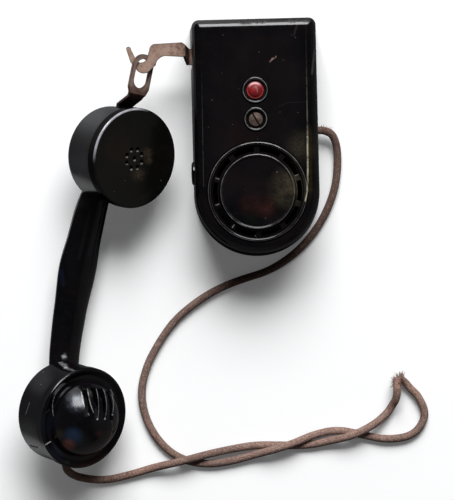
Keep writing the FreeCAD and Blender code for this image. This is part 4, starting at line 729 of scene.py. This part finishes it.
def cloth_braid():
    """Faded pinkish-brown cotton: strands in the braid's own pattern, darker in the hollows between them as
    painted shade so that the crowns read paler, and dirt.
    """
    g = Graph("cord_braid")
    unrolled = g.add("TexCoord").outputs["UV"]
    turn, along = g.part(unrolled, "X"), g.part(unrolled, "Y")
    first = g.times(g.plus(turn, along), 2 * math.pi * BRAID_STRANDS)
    second = g.times(g.math("SUBTRACT", turn, along), 2 * math.pi * BRAID_STRANDS)
    weave = g.times(g.math("SINE", first), g.math("SINE", second))
    ply = g.times(g.math("SINE", g.times(first, 4.0)), g.math("SINE", g.times(second, 4.0)))
    dirt = g.noise(60, 5.0, 0.65)
    colour = g.mix(g.ramp(dirt, 0.32, 0.72), (0.235, 0.150, 0.122), (0.350, 0.240, 0.200))
    for at, radius, inner, tint, most in (((35.0, -188.0), 75.0, 0.25, (0.57, 0.365, 0.300), 0.7),
                                          ((-95.0, -212.0), 60.0, 0.3, (0.52, 0.31, 0.245), 0.75),
                                          ((90.0, -162.0), 22.0, 0.3, (0.60, 0.355, 0.265), 0.6)):
        colour = g.mix(g.times(g.spot(at, radius, inner), most), colour, tint)
    sooty = g.math("MAXIMUM", g.spot((48.0, -30.0), 48.0, 0.5), g.spot((5.0, -80.0), 55.0, 0.4))
    colour = g.mix(g.times(sooty, 0.78), colour, (0.078, 0.038, 0.027))
    torn = g.times(g.spot((44.5, 2.2), 4.6, 0.3), g.ramp(g.noise(420, 4.0, 0.7), 0.34, 0.52))
    colour = g.mix(g.times(torn, 0.9), colour, (0.125, 0.037, 0.022))
    # Darker in the hollows between the strands: painted shade.
    colour = g.mix(g.ramp(weave, 0.3, -0.8, 0.0, 0.75), colour, (0.075, 0.040, 0.032))
    fibre = g.noise(2300, 2.0, 0.7)
    colour = g.mix(g.ramp(fibre, 0.52, 0.70, 0.0, 0.55), colour, (0.58, 0.40, 0.33))
    speckle = g.noise(1150, 3.0, 0.75)
    colour = g.mix(g.ramp(speckle, 0.55, 0.38, 0.0, 0.75), colour, (0.100, 0.050, 0.038))
    colour = g.mix(g.ramp(speckle, 0.56, 0.68, 0.0, 0.60), colour, (0.62, 0.45, 0.38))
    soil = g.ramp(g.noise(330, 4.0, 0.65), 0.56, 0.72, 0.0, 0.5)
    colour = g.mix(soil, colour, (0.085, 0.046, 0.036))
    normal = g.bump(ply, 0.00006, 0.8, g.bump(fibre, 0.0001, 0.7))
    return g.finish(Base_Color=colour, Roughness=0.93, Normal=normal, Sheen_Weight=0.06, Sheen_Roughness=0.5)


def frayed_cotton():
    """Matte brown of the loose fibres."""
    g = Graph("frayed_cotton")
    colour = g.mix(g.noise(900, 2.0), (0.105, 0.052, 0.036), (0.29, 0.165, 0.122))
    return g.finish(Base_Color=colour, Roughness=0.95, Sheen_Weight=0.1)


def plain(name, colour, roughness, metallic=0.0, vary=0.35, scale=300, bump=0.00003, **more):
    """Small parts: one colour with a mottled finish."""
    g = Graph(name)
    mottle = g.noise(scale, 4.0, 0.6)
    dark = tuple(v * (1 - vary) for v in colour)
    shade = g.mix(g.ramp(mottle, 0.35, 0.7), colour, dark)
    rough = g.ramp(mottle, 0.3, 0.7, roughness, min(1.0, roughness + 0.2))
    normal = g.bump(g.noise(scale * 5, 3.0), bump, 0.5)
    return g.finish(Base_Color=shade, Roughness=rough, Metallic=metallic, Normal=normal, **more)


def middle(node):
    """Centre of a node's box seen from above, in mm."""
    low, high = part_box(node)
    return [(a + b) / 2 / MM for a, b in zip(low[:2], high[:2])]


def slotted_head():
    """The cover screw's tarnished head, with painted shade in its slot."""
    g = Graph("cover_screw_head")
    x, y = middle("cover_screw")
    cloud = g.ramp(g.noise(600, 4.0, 0.65), 0.35, 0.65)
    shade = g.mix(cloud, (0.150, 0.105, 0.088), (0.085, 0.055, 0.044))
    # The slot is darkened: painted shade.
    slot = g.stroke((x - 2.1, y + 3.8), (x + 2.1, y - 3.8), 0.8)
    shade = g.mix(slot, shade, (0.012, 0.005, 0.003))
    roughness = g.plus(g.ramp(g.noise(500, 3.0), 0.3, 0.7, 0.40, 0.60), g.times(slot, 0.3))
    normal = g.bump(g.noise(1900, 3.0), 0.00004, 0.5)
    return g.finish(Base_Color=shade, Roughness=roughness, Metallic=0.45, Normal=normal)


def red_button():
    """Red button, dulled and speckled, with a pale scratch and the room's light on its upper rim."""
    g = Graph("red_button")
    x, y = middle("call_button")
    shade = g.mix(g.ramp(g.noise(330, 4.0, 0.6), 0.35, 0.65), (0.270, 0.015, 0.017), (0.165, 0.008, 0.010))
    shade = g.mix(g.times(specks(g, 700, 0.06), 0.6), shade, (0.45, 0.20, 0.18))
    nick = g.stroke((x + 1.1, y + 1.0), (x + 1.4, y - 2.0), 0.5)
    nick = g.times(nick, g.ramp(g.noise(900, 2.0), 0.35, 0.55))
    shade = g.mix(g.times(nick, 0.5), shade, (0.42, 0.20, 0.19))
    shine = g.times(g.ring((x, y), 4.3, 1.9), g.spot((x - 0.4, y + 4.6), 5.2, 0.3))
    shade = g.mix(g.times(shine, 0.85), shade, (0.80, 0.50, 0.50))
    roughness = g.ramp(g.noise(500, 3.0), 0.3, 0.7, 0.42, 0.58)
    normal = g.bump(g.noise(420, 3.0), 0.00005, 0.5)
    return g.finish(Base_Color=shade, Roughness=roughness, Normal=normal, IOR=1.50)


def strap_fade(g, colour):
    """The loop's strap turns rusty and then black towards the cup."""
    ragged = g.plus(g.part(g.place, "Y"), g.ramp(g.noise(300, 4.0), 0.2, 0.8, -0.003, 0.003))
    colour = g.mix(g.ramp(ragged, 0.0360, 0.0275, 0.0, 0.80), colour, (0.090, 0.038, 0.026))
    return g.mix(g.ramp(ragged, 0.0295, 0.0225, 0.0, 0.97), colour, (0.012, 0.0085, 0.0072))


def paint(node, material):
    """Give a CAD node its one material."""
    slots = nodes[node].data.materials
    slots.clear()
    slots.append(material)


shell_black = bakelite("bakelite_handset", brown=(0.0075, 0.0045, 0.0042), share=0.4, marks=handset_marks)
cover_black = bakelite("bakelite_cover", marks=cover_marks)
ear_black = bakelite("bakelite_receiver", black=(0.0032, 0.0033, 0.0028), brown=(0.0070, 0.0048, 0.0034),
                     rough=(0.16, 0.26), marks=receiver_marks)
mouth_black = bakelite("bakelite_transmitter", brown=(0.0070, 0.0045, 0.0050), share=0.4,
                       rough=(0.06, 0.15), dust=0.6, ripple=1.0, marks=transmitter_marks)
hook_steel = worn_steel("hook_steel")
loop_steel = worn_steel("loop_steel", clean=(0.32, 0.235, 0.20), dull=(0.17, 0.105, 0.080), fade=strap_fade)
screw_steel = plain("screw_steel", (0.42, 0.36, 0.33), 0.42, 0.8)
brass = plain("old_brass", (0.52, 0.37, 0.15), 0.38, 0.9)
laminate = plain("laminate", (0.20, 0.095, 0.04), 0.6, scale=500)
iron = plain("soft_iron", (0.16, 0.15, 0.145), 0.5, 0.7)
copper = plain("enamelled_wire", (0.30, 0.09, 0.03), 0.35, 0.5, scale=900)
base_brown = plain("base_board", (0.018, 0.014, 0.013), 0.55, scale=160)
tin = plain("capsule_metal", (0.50, 0.49, 0.46), 0.38, 0.85)
rubber = plain("gland_rubber", (0.016, 0.015, 0.015), 0.6, scale=400)
braid = cloth_braid()

for material, names in (
    (base_brown, ("base_plate",)),
    (cover_black, ("front_cover", "blanking_plug")),
    (slotted_head(), ("cover_screw",)),
    (red_button(), ("call_button",)),
    (hook_steel, ("hook_lever",)),
    (loop_steel, ("hanging_loop",)),
    (screw_steel, ("hook_post", "hook_clip", "hook_stops", "hook_contact_screws", "button_contact_screws",
                   "buzzer_screws", "interrupter_screw", "cord_saddle", "saddle_screws", "loop_screws")),
    (brass, ("screw_post", "hook_fixed_leaf", "hook_moving_leaf", "button_fixed_leaf", "button_moving_leaf",
             "interrupter_post", "terminal_screws", "receiver_contacts", "transmitter_contacts")),
    (laminate, ("hook_contact_block", "button_contact_block", "buzzer_bobbin", "terminal_strip")),
    (iron, ("buzzer_frame", "buzzer_core", "buzzer_armature")),
    (copper, ("buzzer_winding",)),
    (shell_black, ("handset_shell",)),
    (ear_black, ("ear_cap",)),
    (mouth_black, ("mouth_cap",)),
    (tin, ("receiver_capsule", "transmitter_capsule")),
    (rubber, ("cord_gland",)),
    (braid, ("box_cord_end", "handset_cord_end")),
):
    for node in names:
        paint(node, material)


# The cord's pieces

line = cord_line()
cord, cord_length = braided_cord(line)
cord.data.materials.append(braid)
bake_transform(cord)
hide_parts("handset_cord")
loose = [cord_fuzz(line), cord_frays(line)]
for piece in loose:
    piece.data.materials.append(frayed_cotton())
    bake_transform(piece)


# Floor, light and world

FLOOR_DROP = -0.2 * MM
OBJECT_MIDDLE = Vector((-0.03, -0.07, 0.02))


def make_floor():
    """White where it is seen, with the object's shadow; duller in reflections, and paler to the north."""
    g = Graph("pale_floor")
    lit = g.add("BsdfDiffuse", {"Color": (0.97, 0.97, 0.97)})
    glow = g.add("Emission", {"Color": (1, 1, 1), "Strength": 0.090})
    place = g.add("NewGeometry").outputs["Position"]
    north = g.ramp(g.part(place, "Y"), -0.02, 0.24)
    pale = g.times(north, g.ramp(g.part(place, "X"), 0.05, -0.05, 0.10, 1.0))
    beside = g.math("MAXIMUM", g.spot((-165.0, -212.0), 45.0, 0.3), g.spot((-140.0, -42.0), 34.0, 0.3))
    pale = g.math("MAXIMUM", pale, g.times(beside, 0.55))
    dull = g.add("BsdfDiffuse", {"Color": g.mix(pale, (0.10, 0.10, 0.105), (0.85, 0.85, 0.86))})
    seen = g.add("LightPath").outputs["Is Camera Ray"]
    both = g.add("AddShader", {0: lit.outputs[0], 1: glow.outputs[0]})
    chosen = g.add("MixShader", {0: seen, 1: dull.outputs[0], 2: both.outputs[0]})
    g.tree.links.new(chosen.outputs[0], g.output.inputs[0])
    mesh = bpy.data.meshes.new("floor")
    half = 3.0
    corners = [(x * half, y * half, 0) for x, y in ((-1, -1), (1, -1), (1, 1), (-1, 1))]
    mesh.from_pydata(corners, [], [(0, 1, 2, 3)])
    mesh.materials.append(g.material)
    floor = bpy.data.objects.new("floor", mesh)
    floor.location = (0, 0, FLOOR_DROP)
    bpy.context.collection.objects.link(floor)


def area_light(name, way, distance, size, radiance, colour=(1, 1, 1)):
    """Soft rectangular light in a direction from the object, aimed back at it."""
    data = bpy.data.lights.new(name, "AREA")
    data.shape = "RECTANGLE"
    data.size, data.size_y = size
    data.energy = radiance * math.pi * size[0] * size[1]
    data.color = colour
    lamp = bpy.data.objects.new(name, data)
    way = Vector(way).normalized()
    lamp.location = OBJECT_MIDDLE + way * distance
    lamp.rotation_euler = (-way).to_track_quat("-Z", "Y").to_euler()
    bpy.context.collection.objects.link(lamp)
    return lamp


class Sky:
    """The room's light by direction: soft patches added to a base level."""

    def __init__(self, colour, level):
        world = bpy.data.worlds.new("room")
        bpy.context.scene.world = world
        world.use_nodes = True
        self.tree = world.node_tree
        self.tree.nodes.clear()
        self.way = self.add("TexCoord").outputs["Generated"]
        self.total = self.tint(level, colour)

    def add(self, kind, **settings):
        node = self.tree.nodes.new("ShaderNode" + kind)
        for key, value in settings.items():
            setattr(node, key, value)
        return node

    def step(self, source, low, high, out_low, out_high):
        """A number that goes smoothly from out_low to out_high as the source goes from low to high."""
        node = self.add("MapRange", interpolation_type="SMOOTHSTEP")
        for key, value in zip(("From Min", "From Max", "To Min", "To Max"), (low, high, out_low, out_high)):
            node.inputs[key].default_value = value
        self.tree.links.new(source, node.inputs["Value"])
        return node.outputs[0]

    def tint(self, strength, colour):
        """A colour times a number or another node's output."""
        node = self.add("VectorMath", operation="SCALE")
        node.inputs[0].default_value = colour
        if isinstance(strength, bpy.types.NodeSocket):
            self.tree.links.new(strength, node.inputs["Scale"])
        else:
            node.inputs["Scale"].default_value = strength
        return node.outputs[0]

    def patch(self, way, inner, outer, level, colour):
        """Light that is full within an angle of a direction and fades to nothing at a wider one."""
        node = self.add("VectorMath", operation="DOT_PRODUCT")
        self.tree.links.new(self.way, node.inputs[0])
        node.inputs[1].default_value = Vector(way).normalized()
        low, high = math.cos(math.radians(outer)), math.cos(math.radians(inner))
        inside = self.step(node.outputs["Value"], low, high, 0, level)
        both = self.add("VectorMath", operation="ADD")
        self.tree.links.new(self.total, both.inputs[0])
        self.tree.links.new(self.tint(inside, colour), both.inputs[1])
        self.total = both.outputs[0]

    def finish(self):
        back = self.add("Background")
        self.tree.links.new(self.total, back.inputs["Color"])
        back.inputs["Strength"].default_value = 1.0
        out = self.add("OutputWorld")
        self.tree.links.new(back.outputs[0], out.inputs[0])


def make_world():
    """Dim overhead, a little brighter low down, brightest low in the north."""
    sky = Sky((0.95, 0.97, 1.0), 0.030)
    sky.patch((0.0, 1.0, 0.05), 8, 40, 1.0, (0.98, 0.99, 1.0))
    sky.patch((0.95, -0.24, 0.20), 12, 40, 0.055, (1.0, 0.97, 0.88))
    sky.patch((-0.3, -1.0, 0.2), 10, 55, 0.07, (0.95, 0.97, 1.0))
    sky.finish()


make_floor()
make_world()
area_light("window_left", (-0.045, 0.74, 0.67), 6.0, (2.2, 3.3), 9.2, (0.98, 0.99, 1.0))
area_light("window_right", (0.27, 0.73, 0.66), 6.0, (1.5, 3.3), 7.6, (0.98, 0.99, 1.0))
area_light("window_fill", (0.10, 0.66, 0.74), 6.0, (4.4, 2.2), 5.7).visible_glossy = False
bpy.context.scene.view_settings.view_transform = "Standard"
